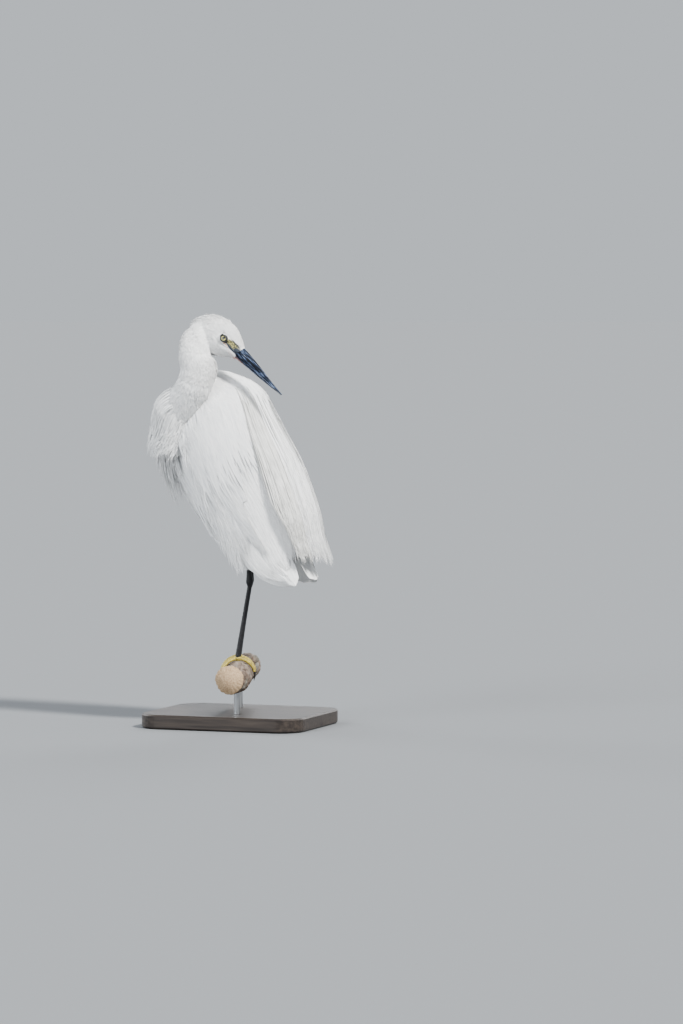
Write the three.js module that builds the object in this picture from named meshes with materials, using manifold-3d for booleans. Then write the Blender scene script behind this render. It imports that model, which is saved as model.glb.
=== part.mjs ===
// A life-size little egret at rest on a cut branch, which two rods hold over a flat base.
// Millimetres. +Z is up, the body faces -X and its left side is -Y.
// The origin is the middle of the base's underside.

import * as THREE from "three";
import { mergeVertices } from "three/addons/utils/BufferGeometryUtils.js";
import Module from "manifold-3d";

const wasm = await Module();
wasm.setup();

const GAP = 0.3; // what neighbouring nodes keep between their faces
const DEGREE = Math.PI / 180;
const VIEW_TURN = 20 * DEGREE; // the gaze and the perch are set out from this far behind the left side

// Stand and perch
const BASE_LENGTH = 220;
const BASE_WIDTH = 180;
const BASE_HEIGHT = 18;
const BASE_CORNER = 30;
const BASE_BEVEL = 2;
const ROD_RADIUS = 4;
const ROD_SPACING = 92;
const PERCH_RADIUS = 19;
const PERCH_LENGTH = 190;
const PERCH_TOP = 84;

// Head and bill, in the head's own frame: s runs along the bill, w across and n towards the crown
const BILL_BASE = [0.9, -33, 477]; // right, away and up, as seen from the left side
const BILL_DIRECTION = [0.665, -0.375, -0.643];
const CROWN_DIRECTION = [0.69, 0, 0.72];
const BILL_LENGTH = 80;
const EYE_RADIUS = 5.4;
const EYE_PLACE = { s: -24.5, w: 10.6, n: -0.5 };
const LID_THICKNESS = 1.1;

// Tiers of feathers on a folded wing, each from its first feather to its last: root and tip are shares
// of the wing's length, across and end shares of its width, and lift is the height over its surface
const WING_TIERS = [
  {
    count: 5, root: [0.5, 0.56], tip: [0.98, 1.0],
    across: [0.97, 0.5], end: [0.8, 0.25], width: 15, lift: 0.2,
  },
  {
    count: 8, root: [0.44, 0.52], tip: [0.94, 0.8],
    across: [0.9, 0.04], end: [0.72, 0.02], width: 15, lift: 1.5,
  },
  {
    count: 8, root: [0.27, 0.33], tip: [0.6, 0.66],
    across: [0.95, 0.05], end: [0.95, 0.04], width: 15, lift: 2.7,
  },
  {
    count: 7, root: [0.13, 0.18], tip: [0.42, 0.48],
    across: [0.94, 0.08], end: [0.95, 0.05], width: 15, lift: 3.7,
  },
  {
    count: 6, root: [0.02, 0.05], tip: [0.26, 0.3],
    across: [0.88, 0.14], end: [0.93, 0.08], width: 15, lift: 4.4,
  },
];

const TAIL_FEATHERS = 8;
const BACK_PLUMES = 25;
const FLANK_PLUMES = 9;
const BREAST_PLUMES = 21;
const SEED = 7;

// A repeatable stream of numbers from 0 to 1
function randomStream(seed) {
  let state = seed;
  return () => {
    state = (state * 1664525 + 1013904223) % 4294967296;
    return state / 4294967296;
  };
}

const mix = (a, b, t) => a + (b - a) * t;
const point = (p) => new THREE.Vector3(...p);

// Smooth values through rows of numbers, spread evenly over t from 0 to 1
function track(rows) {
  const last = rows.length - 1;
  return (t) => {
    const place = Math.min(Math.max(t, 0), 1) * last;
    const i = Math.min(Math.floor(place), last - 1);
    const f = place - i;
    const [a, b, c, d] = [rows[Math.max(i - 1, 0)], rows[i], rows[i + 1], rows[Math.min(i + 2, last)]];
    return b.map((_, k) => {
      const cubic = -a[k] + 3 * b[k] - 3 * c[k] + d[k];
      const square = 2 * a[k] - 5 * b[k] + 4 * c[k] - d[k];
      return 0.5 * (2 * b[k] + (c[k] - a[k]) * f + square * f * f + cubic * f * f * f);
    });
  };
}

// A point given by what is right, away and up, seen from behind the left side
function fromView([right, away, up]) {
  const [c, s] = [Math.cos(VIEW_TURN), Math.sin(VIEW_TURN)];
  return new THREE.Vector3(right * c - away * s, right * s + away * c, up);
}

function geometryOf(points, index) {
  const flat = points.flatMap((p) => [p.x, p.y, p.z]);
  const position = new THREE.Float32BufferAttribute(flat, 3);
  return new THREE.BufferGeometry().setAttribute("position", position).setIndex(index);
}

// A closed skin over rings of points, with a fan over each end
function loft(rings) {
  const count = rings[0].length;
  const points = rings.flat();
  const index = [];
  for (let i = 0; i + 1 < rings.length; i++) {
    for (let j = 0; j < count; j++) {
      const [a, b] = [i * count + j, i * count + ((j + 1) % count)];
      index.push(a, b, b + count, a, b + count, a + count);
    }
  }
  const start = rings[0].reduce((sum, p) => sum.clone().add(p)).divideScalar(count);
  const end = rings.at(-1).reduce((sum, p) => sum.clone().add(p)).divideScalar(count);
  const [first, second] = [points.length, points.length + 1];
  points.push(start, end);
  for (let j = 0; j < count; j++) {
    const next = (j + 1) % count;
    const base = (rings.length - 1) * count;
    index.push(first, next, j, second, base + j, base + next);
  }
  return geometryOf(points, index);
}

function solid(geometry) {
  const bare = geometry.index ? geometry.clone() : geometry;
  bare.deleteAttribute("normal");
  bare.deleteAttribute("uv");
  const merged = mergeVertices(bare, 1e-4);
  const corners = new Uint32Array(merged.index.array);
  const build = () =>
    new wasm.Manifold(
      new wasm.Mesh({ numProp: 3, vertProperties: merged.attributes.position.array, triVerts: corners }),
    );
  const made = build();
  if (made.volume() > 0) return made;
  for (let i = 0; i < corners.length; i += 3) {
    [corners[i + 1], corners[i + 2]] = [corners[i + 2], corners[i + 1]];
  }
  return build();
}

const union = (solids) => solids.reduce((sum, next) => sum.add(next));

// The largest closed surface, so that a sealed hollow is filled and a loose scrap dropped
const largest = (made) =>
  made.decompose().reduce((best, next) => (next.volume() > best.volume() ? next : best));

// Rings of a tube along a path, each with its radii and its place on the curve
function tubeRings(curve, radii, steps, sides, up = new THREE.Vector3(0, 0, 1)) {
  const rings = [];
  for (let i = 0; i <= steps; i++) {
    const t = i / steps;
    const centre = curve.getPoint(t);
    const along = curve.getTangent(t);
    const across = new THREE.Vector3().crossVectors(up, along).normalize();
    const over = new THREE.Vector3().crossVectors(along, across);
    const [wide, high] = radii(t);
    rings.push(
      Array.from({ length: sides }, (_, k) => {
        const angle = (2 * Math.PI * k) / sides;
        return centre
          .clone()
          .addScaledVector(across, wide * Math.cos(angle))
          .addScaledVector(over, high * Math.sin(angle));
      }),
    );
  }
  return rings;
}

const tube = (curve, radii, steps, sides, up) => solid(loft(tubeRings(curve, radii, steps, sides, up)));

// A feather or lock: a thin blade of four edges along places that give a point and an outward direction.
// Both faces are split into triangles alike, so that they never cross where the blade curves.
function blade(place, { width, thickness = 0.75, steps = 5, tipWidth = 0.3, rootWidth = 0.5, roll = 0 }) {
  const points = [];
  for (let i = 0; i <= steps; i++) {
    const t = i / steps;
    const here = place(t);
    const before = place(Math.max(t - 0.02, 0)).at;
    const along = place(Math.min(t + 0.02, 1)).at.clone().sub(before).normalize();
    const side = new THREE.Vector3().crossVectors(along, here.out).normalize().applyAxisAngle(along, roll);
    const out = new THREE.Vector3().crossVectors(side, along).normalize();
    const swell = Math.sin(Math.PI * Math.min(t / 1.15 + 0.08, 1));
    const ends = t < 0.5 ? mix(rootWidth, 1, 2 * t) : mix(1, tipWidth, (2 * t - 1) ** 3);
    const half = (width / 2) * Math.min(ends, Math.max(swell * 1.3, tipWidth));
    const thick = thickness * (t > 0.85 ? 0.6 : 1);
    points.push(here.at.clone().addScaledVector(side, -half));
    points.push(here.at.clone().addScaledVector(out, thick));
    points.push(here.at.clone().addScaledVector(side, half));
    points.push(here.at.clone().addScaledVector(out, -thick));
  }
  const index = [];
  for (let i = 0; i < steps; i++) {
    const [left, top, right, under] = [0, 1, 2, 3].map((k) => 4 * i + k);
    for (const middle of [top, under]) {
      const turn = middle === top ? 1 : -1;
      const faces = [
        [left, middle, middle + 4],
        [left, middle + 4, left + 4],
        [middle, right, right + 4],
        [middle, right + 4, middle + 4],
      ];
      for (const [a, b, c] of faces) index.push(...(turn > 0 ? [a, b, c] : [a, c, b]));
    }
  }
  const end = 4 * steps;
  index.push(0, 3, 1, 1, 3, 2, end, end + 1, end + 3, end + 1, end + 2, end + 3);
  return solid(geometryOf(points, index));
}

const ball = (centre, radius, around = 14, down = 8, squash = [1, 1, 1]) =>
  solid(new THREE.SphereGeometry(radius, around, down).scale(...squash).translate(...centre.toArray()));

// A rod between two points, with a radius at each
function rod(from, to, startRadius, endRadius = startRadius, sides = 16) {
  const along = to.clone().sub(from);
  const shape = new THREE.CylinderGeometry(endRadius, startRadius, along.length(), sides);
  const upright = new THREE.Vector3(0, 1, 0);
  const turn = new THREE.Quaternion().setFromUnitVectors(upright, along.clone().normalize());
  return solid(shape.applyQuaternion(turn).translate(...from.clone().add(to).divideScalar(2).toArray()));
}

// The trunk lies along one straight axis: x and z of each ring's middle, its half depth and half width
const TRUNK_RINGS = track([
  [-62, 447, 14, 15],
  [-57, 428, 40, 27],
  [-42, 395, 64, 37],
  [-20, 350, 71, 43],
  [8, 300, 69, 43],
  [36, 262, 52, 38],
  [56, 240, 26, 25],
  [68, 222, 11, 14],
]);
// The back plumes lie over this wider form, which clears the folded wings
const MANTLE_RINGS = track([
  [-62, 447, 16, 18],
  [-57, 428, 47, 32],
  [-42, 395, 77, 46],
  [-20, 350, 80, 57],
  [8, 300, 80, 61],
  [36, 262, 68, 60],
  [56, 240, 55, 56],
  [68, 222, 46, 51],
]);
const TAILWARD = new THREE.Vector3(0.5, 0, -0.866);
const DRAPE = new THREE.Vector3(0.36, 0, -0.93); // the hang of plumes beyond the trunk's end
const BACKWARD = new THREE.Vector3(0.866, 0, 0.5);
const LEFTWARD = new THREE.Vector3(0, -1, 0);

// A place on a trunk ring: angle 0 is the middle of the back, and the left side is at a quarter turn
function onTrunk(rings, t, angle, lift = 0) {
  const [x, z, depth, width] = rings(t);
  const out = BACKWARD.clone()
    .multiplyScalar(Math.cos(angle) / depth)
    .addScaledVector(LEFTWARD, Math.sin(angle) / width)
    .normalize();
  const at = new THREE.Vector3(x, 0, z)
    .addScaledVector(BACKWARD, depth * Math.cos(angle))
    .addScaledVector(LEFTWARD, width * Math.sin(angle))
    .addScaledVector(out, lift)
    .addScaledVector(DRAPE, 66 * Math.max(t - 1, 0));
  return { at, out };
}

function trunk(grow = 0) {
  const rings = [];
  for (let i = 0; i <= 13; i++) {
    rings.push(
      Array.from({ length: 18 }, (_, k) => onTrunk(TRUNK_RINGS, i / 13, (2 * Math.PI * k) / 18, grow).at),
    );
  }
  for (const p of rings[0]) p.addScaledVector(TAILWARD, -grow);
  for (const p of rings.at(-1)) p.addScaledVector(TAILWARD, grow);
  return solid(loft(rings));
}

// Neck
const LOWER_NECK = new THREE.CatmullRomCurve3([
  fromView([-80, 12, 364]),
  fromView([-84, 4, 384]),
  fromView([-80, -5, 405]),
  fromView([-67, -14, 423]),
  fromView([-57, -22, 441]),
]);
const UPPER_NECK = new THREE.CatmullRomCurve3([
  fromView([-57, -22, 441]),
  fromView([-52, -27, 457]),
  fromView([-56.5, -25, 474]),
  fromView([-53, -21, 490]),
  fromView([-45, -17, 501]),
  fromView([-37, -15, 506]),
]);
const LOWER_RADII = track([[19], [28], [27.5], [22.5], [22]]);
const UPPER_RADII = track([
  [22, 22],
  [23.5, 21],
  [20.8, 17],
  [21.5, 15.5],
  [17.5, 13.5],
  [10, 9],
]);
const AWAY = fromView([0, 1, 0]);

function lowerNeck(grow = 0) {
  return tube(LOWER_NECK, (t) => [LOWER_RADII(t)[0] + grow, LOWER_RADII(t)[0] + grow], 8, 18, AWAY);
}

function upperNeck(grow = 0) {
  return tube(UPPER_NECK, (t) => UPPER_RADII(t).map((radius) => radius + grow), 10, 18, AWAY);
}

// Head and bill
const BILLWARD = fromView(BILL_DIRECTION).normalize();
const CROWNWARD = fromView(CROWN_DIRECTION).normalize();
const RIGHTWARD = new THREE.Vector3().crossVectors(BILLWARD, CROWNWARD).normalize();
const BILL_ROOT = fromView(BILL_BASE);

const onHead = (s, w, n) =>
  BILL_ROOT.clone()
    .addScaledVector(BILLWARD, s)
    .addScaledVector(RIGHTWARD, w)
    .addScaledVector(CROWNWARD, n);

// Each ring's place along the bill, its top, widest level, bottom and half width
const HEAD_RINGS = track([
  [-74, -4, -11, -18, 5.5],
  [-66, 8, -8, -24, 12],
  [-54, 16.4, -6, -29, 16.4],
  [-38, 20.4, -4, -29, 16.4],
  [-24, 19.6, -3, -24, 13.8],
  [-10, 14.6, -2, -16, 9.8],
  [0, 9, -1, -10.8, 6.4],
]);

function headOutline(t, angle, grow = 0) {
  const [s, top, level, bottom, half] = HEAD_RINGS(t);
  const rise = Math.cos(angle) > 0 ? top - level : level - bottom;
  return onHead(s, (half + grow) * Math.sin(angle), level + (rise + grow) * Math.cos(angle));
}

function skull(grow = 0) {
  const rings = [];
  for (let i = 0; i <= 11; i++) {
    rings.push(Array.from({ length: 18 }, (_, k) => headOutline(i / 11, (2 * Math.PI * k) / 18, grow)));
  }
  for (const p of rings[0]) p.addScaledVector(BILLWARD, -grow);
  return solid(loft(rings));
}

// Half a bill: rings of a flat-sided arch over the line of the mouth, or under it
const MOUTH_LINE = track([[-3.2], [-3], [-2.6], [-1.6], [-0.6]]);
const CULMEN = track([[8.8], [7.2], [5], [2.4], [0.6]]);
const GONYS = track([[-8.6], [-6.6], [-5.2], [-3.4], [-1.2]]);
const BILL_HALF_WIDTH = track([[6.2], [4.6], [3.3], [2.2], [0.5]]);

function mandible(edge, sign, grow = 0) {
  const rings = [];
  for (let i = 0; i <= 8; i++) {
    const t = i / 8;
    const line = MOUTH_LINE(t)[0] + sign * (GAP / 2 - grow);
    const outer = edge(t)[0] + sign * grow;
    const half = BILL_HALF_WIDTH(t)[0] + grow;
    const s = GAP + (BILL_LENGTH - GAP) * t - (i ? 0 : grow);
    rings.push(
      Array.from({ length: 9 }, (_, k) => {
        const angle = (Math.PI * k) / 8;
        const w = half * Math.cos(angle) * (1 - 0.25 * Math.sin(angle));
        return onHead(s, w, line + (outer - line) * Math.sin(angle) ** 0.9);
      }),
    );
  }
  return solid(loft(rings));
}

function nostril(side) {
  const cut = new THREE.SphereGeometry(1, 12, 8).scale(4.2, 1.5, 0.8);
  const turn = new THREE.Matrix4().makeBasis(BILLWARD, RIGHTWARD, CROWNWARD);
  turn.setPosition(onHead(12.5, side * 5, 2.6));
  return solid(cut.applyMatrix4(turn));
}

function gape(side) {
  const line = new THREE.CatmullRomCurve3([
    onHead(1, side * 6.6, -3.2),
    onHead(-9, side * 9.6, -5),
    onHead(-19.5, side * 12.9, -8),
  ]);
  return tube(line, (t) => [0.9, 0.5 - 0.2 * t], 5, 8, CROWNWARD);
}

function head() {
  let made = skull();
  const chin = [-5, 2, 10, 19].map((s, i) =>
    Array.from({ length: 8 }, (_, k) => {
      const angle = (2 * Math.PI * k) / 8;
      const [high, low, half] = [[-8, -13, 5.5], [-7, -11, 4.4], [-6.4, -9.3, 3.2], [-6, -7.4, 1]][i];
      return onHead(s, half * Math.sin(angle), (high + low) / 2 + ((high - low) / 2) * Math.cos(angle));
    }),
  );
  made = made.add(solid(loft(chin)));
  for (const side of [-1, 1]) {
    const eye = onHead(EYE_PLACE.s, side * EYE_PLACE.w, EYE_PLACE.n);
    const window = onHead(EYE_PLACE.s, side * 24, EYE_PLACE.n);
    made = made.add(ball(eye, EYE_RADIUS + GAP + LID_THICKNESS));
    made = made.subtract(ball(eye, EYE_RADIUS + GAP + 0.1)).subtract(rod(eye, window, 4.3));
    made = made.subtract(gape(side));
  }
  return largest(made.subtract(mandible(GONYS, -1, GAP)).subtract(mandible(CULMEN, 1, GAP)));
}

function upperBill() {
  return largest(mandible(CULMEN, 1).subtract(nostril(-1)).subtract(nostril(1)));
}

// Wings
// The outer face of the folded left wing between its upper edge, along the back, and its lower edge
const WING_UPPER_EDGE = track([
  [-14, 30, 430],
  [10, 32, 413],
  [36, 36, 375],
  [61, 36, 326],
  [78, 33, 282],
  [90, 29, 235],
  [93, 33, 184],
]);
const WING_LOWER_EDGE = track([
  [-50, 45, 352],
  [-38, 48, 322],
  [-16, 50, 285],
  [5, 50, 248],
  [26, 47, 214],
  [47, 43, 192.5],
  [85, 33, 182],
]);

function onWing(side, a, b, lift = 0) {
  const raw = (along, across) => {
    const upper = WING_UPPER_EDGE(along);
    const lower = WING_LOWER_EDGE(along);
    const bulge = 4 * across * (1 - across) * mix(9, 4, along);
    return new THREE.Vector3(
      mix(upper[0], lower[0], across),
      side * (mix(upper[1], lower[1], across) + bulge),
      mix(upper[2], lower[2], across),
    );
  };
  const step = 0.02;
  const [a0, b0] = [Math.min(Math.max(a, step), 1 - step), Math.min(Math.max(b, step), 1 - step)];
  const down = raw(a0 + step, b0).sub(raw(a0 - step, b0));
  const across = raw(a0, b0 + step).sub(raw(a0, b0 - step));
  const out = new THREE.Vector3().crossVectors(down, across).normalize();
  if (out.y * side < 0) out.negate();
  return { at: raw(Math.min(a, 1), b).addScaledVector(out, lift), out };
}

function wingCore(side, grow = 0) {
  const rings = [];
  for (let i = 0; i <= 8; i++) {
    const a = 0.005 + (0.68 * i) / 8;
    const ring = [];
    for (let k = 0; k <= 6; k++) ring.push(onWing(side, a, 0.03 + (0.94 * k) / 6, grow).at);
    for (let k = 6; k >= 0; k--) {
      const inset = 1.2 + 5 * Math.sin((Math.PI * (k + 0.5)) / 7) * (1 - a);
      ring.push(onWing(side, a, 0.03 + (0.94 * k) / 6, -inset - grow).at);
    }
    rings.push(ring);
  }
  return solid(loft(rings));
}

function wingFeathers(side, random) {
  return WING_TIERS.flatMap(({ count, root, tip, across, end, width, lift }) =>
    Array.from({ length: count }, (_, i) => {
      const share = count > 1 ? i / (count - 1) : 0.5;
      const wobble = 0.012 * (random() - 0.5);
      const place = (t) => {
        const a = mix(mix(root[0], root[1], share), mix(tip[0], tip[1], share) + wobble, t);
        const b = mix(mix(across[0], across[1], share), mix(end[0], end[1], share), t * t);
        return onWing(side, a, b, lift + mix(-0.9, 0.5, t));
      };
      return blade(place, { width, roll: side * 6 * DEGREE, rootWidth: 0.6, tipWidth: 0.35 });
    }),
  );
}

function wing(side) {
  const random = randomStream(SEED + 1);
  const made = union([wingCore(side), ...wingFeathers(side, random)]).subtract(trunk(GAP));
  return largest(side < 0 ? made.subtract(lowerNeck(GAP)).subtract(upperNeck(GAP)) : made);
}

// Plumes
function backPlumes() {
  const random = randomStream(SEED + 2);
  return Array.from({ length: BACK_PLUMES }, (_, i) => {
    const share = (i / (BACK_PLUMES - 1)) * 2 - 1;
    const start = 0.14 + 0.17 * random();
    const reach = 1.62 - 0.38 * Math.abs(share) - 0.24 * random();
    const lift = 1.6 * (i % 3);
    const place = (t) => {
      const along = mix(start, reach, t);
      const angle = share * mix(34, 56, Math.min(1.4 * t, 1)) * DEGREE;
      const outer = onTrunk(MANTLE_RINGS, along, angle, lift);
      const skin = onTrunk(TRUNK_RINGS, along, angle, -4).at;
      return { at: skin.lerp(outer.at, Math.min(0.1 + t / 0.22, 1)), out: outer.out };
    };
    return blade(place, { width: 7.5, thickness: 0.7, steps: 5, tipWidth: 0.2 });
  });
}

function flankPlumes() {
  const random = randomStream(SEED + 3);
  return [-1, 1].flatMap((side) =>
    Array.from({ length: FLANK_PLUMES }, (_, i) => {
      const share = i / (FLANK_PLUMES - 1);
      const rootAngle = -side * mix(128, 112, share) * DEGREE;
      const root = onTrunk(TRUNK_RINGS, mix(0.5, 0.72, share), rootAngle, -5).at;
      const aside = side * (40 - 3 * random());
      const tip = new THREE.Vector3(mix(-22, 20, share), aside, mix(242, 203, share) + 6 * random());
      const middle = root.clone().lerp(tip, 0.5).add(new THREE.Vector3(-5, side * 3.5, 2));
      const curve = new THREE.CatmullRomCurve3([root, middle, tip]);
      const out = new THREE.Vector3(-0.35, side, 0).normalize();
      const place = (t) => ({ at: curve.getPoint(t).addScaledVector(out, 0.9 * (i % 2)), out });
      return blade(place, { width: 9, thickness: 0.75, steps: 4, tipWidth: 0.15 });
    }),
  );
}

function breastPlumes() {
  const random = randomStream(SEED + 4);
  return Array.from({ length: BREAST_PLUMES }, (_, i) => {
    const row = i % 3;
    const share = Math.floor(i / 3) / (BREAST_PLUMES / 3 - 1);
    const [rootAngle, angle] = [mix(172, 124, share) * DEGREE, mix(202, 122, share) * DEGREE];
    const reach = [0.49, 0.41, 0.34][row] - 0.1 * Math.abs(share - 0.35) + 0.03 * random();
    const place = (t) => {
      const along = mix(0.19, reach, t);
      const spread = Math.min(2.5 * t, 1);
      const free = 14 * t * t * (1 - Math.abs(share - 0.35));
      const lift = mix(2 + row, 3.2 + 1.7 * row + free, spread);
      return onTrunk(TRUNK_RINGS, along, mix(rootAngle, mix(angle, 168 * DEGREE, 0.28 * t), spread), lift);
    };
    return blade(place, { width: 9.5, thickness: 0.75, tipWidth: 0.15 });
  });
}

function torso() {
  const thighs = thighBody(LEGS.left, GAP).add(thighBody(LEGS.right, GAP));
  const plumes = union(flankPlumes()).subtract(thighs);
  const made = union([trunk(), plumes, ...backPlumes()]);
  return largest(made.subtract(lowerNeck(GAP)).subtract(upperNeck(GAP)));
}

const neckEnd = () => UPPER_NECK.getPoint(0);

// A flat slab across the neck where its two lengths meet
function neckSlab(start, length) {
  const along = UPPER_NECK.getTangent(0);
  return rod(neckEnd().addScaledVector(along, start), neckEnd().addScaledVector(along, start + length), 60);
}

function neckLower() {
  const plumes = union(breastPlumes()).subtract(trunk(GAP));
  return largest(lowerNeck().add(plumes).subtract(neckSlab(-GAP / 2, 70)));
}

function neckUpper() {
  const cut = upperNeck().subtract(neckSlab(-70 + GAP / 2, 70));
  return largest(cut.subtract(skull(GAP)).subtract(lowerNeck(GAP)));
}

function tail() {
  const random = randomStream(SEED + 5);
  const place = (t, fan, lift) => ({
    at: new THREE.Vector3(
      mix(66, 103, t) + lift * 0.85,
      fan * mix(9, 14, t),
      mix(251, 188, t) + lift * 0.5,
    ),
    out: BACKWARD,
  });
  const core = blade((t) => place(0.45 * t, 0, 0), {
    width: 30,
    thickness: 2.4,
    rootWidth: 0.9,
    tipWidth: 0.7,
  });
  const vanes = Array.from({ length: TAIL_FEATHERS }, (_, i) => {
    const fan = (i / (TAIL_FEATHERS - 1)) * 2 - 1;
    const length = 1 - 0.05 * Math.abs(fan) - 0.02 * random();
    const path = (t) => place(mix(0.12, length, t), fan, 1.6 - 1.1 * Math.abs(fan));
    return blade(path, { width: 14, tipWidth: 0.4 });
  });
  return largest(union([core, ...vanes]).subtract(trunk(GAP)));
}

// Perch and stand
const PERCH_ALONG = fromView([0, 1, 0]);
const PERCH_MIDDLE = new THREE.Vector3(-2.4, -0.9, PERCH_TOP - PERCH_RADIUS);
const perchPoint = (t, aside, up) =>
  PERCH_MIDDLE.clone()
    .addScaledVector(PERCH_ALONG, t)
    .addScaledVector(fromView([1, 0, 0]), aside)
    .add(new THREE.Vector3(0, 0, up));
const PERCH_CURVE = new THREE.CatmullRomCurve3([
  perchPoint(-PERCH_LENGTH / 2, -9, 1),
  perchPoint(-0.3 * PERCH_LENGTH, -1.5, -0.5),
  perchPoint(-18, 0, 0),
  perchPoint(18, 0, 0),
  perchPoint(0.3 * PERCH_LENGTH, 2, 0.5),
  perchPoint(PERCH_LENGTH / 2, 10, 2.5),
]);

function perchBody(grow = 0) {
  const random = randomStream(SEED + 6);
  const ridges = Array.from({ length: 12 }, () => random());
  const knots = Array.from({ length: 15 }, () => random());
  const rings = tubeRings(PERCH_CURVE, () => [PERCH_RADIUS, PERCH_RADIUS], 14, 12);
  rings.forEach((ring, i) => {
    const middle = PERCH_CURVE.getPoint(i / 14);
    ring.forEach((p, k) => {
      const uneven = -1.1 * ridges[k] * (0.6 + 0.4 * Math.sin(i * 1.3 + k * 2.1)) - 0.7 * knots[i];
      p.addScaledVector(p.clone().sub(middle).normalize(), uneven + grow);
    });
  });
  return solid(loft(rings));
}

function perch() {
  const stub = rod(perchPoint(58, 2, 0), perchPoint(72, 22, 15), 6.5, 4.8, 10);
  return perchBody().add(stub);
}

const rodFoot = (end) => {
  const above = PERCH_CURVE.getPoint(0.5 + (0.5 * end * ROD_SPACING) / PERCH_LENGTH);
  return new THREE.Vector3(above.x, above.y, BASE_HEIGHT + GAP);
};

function standRod(end) {
  const foot = rodFoot(end);
  const above = new THREE.Vector3(foot.x, foot.y, PERCH_TOP - PERCH_RADIUS);
  return largest(rod(foot, above, ROD_RADIUS, ROD_RADIUS, 24).subtract(perchBody(GAP)));
}

function standBase() {
  const [x, y] = [BASE_LENGTH / 2 - BASE_BEVEL, BASE_WIDTH / 2 - BASE_BEVEL];
  const outline = new THREE.Shape();
  const corner = BASE_CORNER;
  outline.moveTo(-x + corner, -y);
  outline.lineTo(x - corner, -y).absarc(x - corner, -y + corner, corner, -Math.PI / 2, 0);
  outline.lineTo(x, y - corner).absarc(x - corner, y - corner, corner, 0, Math.PI / 2);
  outline.lineTo(-x + corner, y).absarc(-x + corner, y - corner, corner, Math.PI / 2, Math.PI);
  outline.lineTo(-x, -y + corner).absarc(-x + corner, -y + corner, corner, Math.PI, 1.5 * Math.PI);
  const bevel = { depth: BASE_HEIGHT - 2 * BASE_BEVEL, bevelSize: BASE_BEVEL, bevelThickness: BASE_BEVEL };
  const plate = new THREE.ExtrudeGeometry(outline, { ...bevel, bevelSegments: 1, curveSegments: 5 });
  return solid(plate.translate(0, 0, BASE_BEVEL));
}

// Legs and feet
const LEGS = {
  left: {
    side: -1,
    hip: [6, -27, 276],
    knee: [13, -25, 240],
    hem: [19.2, -18.2, 207],
    ankle: [18.9, -14.4, 181],
    foot: [3.4, -16.9, 89],
  },
  right: {
    side: 1,
    hip: [4, 27, 276],
    knee: [6, 25, 240],
    hem: [7.6, 20.5, 207],
    ankle: [7.2, 17.5, 181],
    foot: [-8.3, 15.1, 89],
  },
};
// The toes in front are 1 to 3 and the one behind is 4; lean is towards the other foot
const TOES = [
  { name: "1", heading: 1, length: 52, radius: 2.5, lean: -0.04 },
  { name: "2", heading: 1, length: 43, radius: 2.3, lean: 0.24 },
  { name: "3", heading: 1, length: 46, radius: 2.3, lean: -0.45 },
  { name: "4", heading: -1, length: 29, radius: 2.4, lean: 0.06 },
];
const CLAW_LENGTH = 11;
const HEM_RADIUS = 6.5;

function thighBody({ hip, knee, hem }, grow = 0) {
  const curve = new THREE.CatmullRomCurve3([hip, knee, hem].map(point));
  const radius = (t, top) => mix(top, HEM_RADIUS, t ** 0.8) + grow;
  return tube(curve, (t) => [radius(t, 20), radius(t, 13)], 8, 14, LEFTWARD);
}

function thigh(limb) {
  const down = point(limb.ankle).sub(point(limb.hem)).normalize();
  const below = rod(point(limb.hem), point(limb.hem).addScaledVector(down, 30), 30);
  return largest(thighBody(limb).subtract(below).subtract(trunk(GAP)));
}

function leg({ hem, ankle, foot }) {
  const down = point(ankle).sub(point(hem)).normalize();
  const start = point(hem).addScaledVector(down, GAP);
  const curve = new THREE.CatmullRomCurve3([
    start,
    point(ankle).addScaledVector(down, -7),
    point(ankle),
    point(ankle).lerp(point(foot), 0.08),
    point(ankle).lerp(point(foot), 0.5),
    point(foot),
  ]);
  const radii = track([[3.5], [3.7], [5], [4.6], [3.7], [3.2], [3.2], [3.3], [3.7], [4.3]]);
  return tube(curve, (t) => [radii(t)[0] * 0.92, radii(t)[0] * 1.08], 16, 12, LEFTWARD);
}

// Where a toe runs over the perch: it leaves the foot, then bends round the branch
function toePoint({ foot, side }, { heading, lean, radius }, run) {
  const bend = (heading * run * Math.cos(lean)) / (PERCH_RADIUS + radius);
  const out = fromView([-Math.sin(bend), 0, Math.cos(bend)]);
  return new THREE.Vector3(foot[0], foot[1], PERCH_TOP - PERCH_RADIUS)
    .addScaledVector(PERCH_ALONG, -side * run * Math.sin(lean))
    .addScaledVector(out, PERCH_RADIUS + radius + 0.2);
}

function toeCurve(limb, toe, from, to) {
  const points = Array.from({ length: 7 }, (_, i) => toePoint(limb, toe, mix(from, to, i / 6)));
  return new THREE.CatmullRomCurve3(points);
}

function foot(limb) {
  const hub = ball(point(limb.foot).add(new THREE.Vector3(0, 0, -1.6)), 4.6, 10, 8);
  const toes = TOES.map((toe) => {
    const knuckles = (t) => toe.radius * (1 - 0.28 * t) * (1 + 0.07 * Math.cos(4 * Math.PI * t));
    return tube(toeCurve(limb, toe, 0, toe.length), (t) => [knuckles(t), knuckles(t)], 7, 8, PERCH_ALONG);
  });
  return largest(union([hub, ...toes]).subtract(perchBody(GAP)).subtract(grownShank(limb)));
}

function grownShank({ ankle, foot: end }) {
  const up = point(ankle).sub(point(end)).normalize();
  return rod(point(end).addScaledVector(up, -GAP), point(end).addScaledVector(up, 20), 6.2, 6.2, 12);
}

function claw(limb, toe) {
  const start = toe.length + GAP + 0.25;
  const curve = toeCurve(limb, toe, start, start + CLAW_LENGTH);
  const radii = (t) => [mix(toe.radius * 0.6, 0.35, t), mix(toe.radius * 0.72, 0.35, t)];
  return largest(tube(curve, radii, 4, 8, PERCH_ALONG).subtract(perchBody(GAP)));
}

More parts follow.
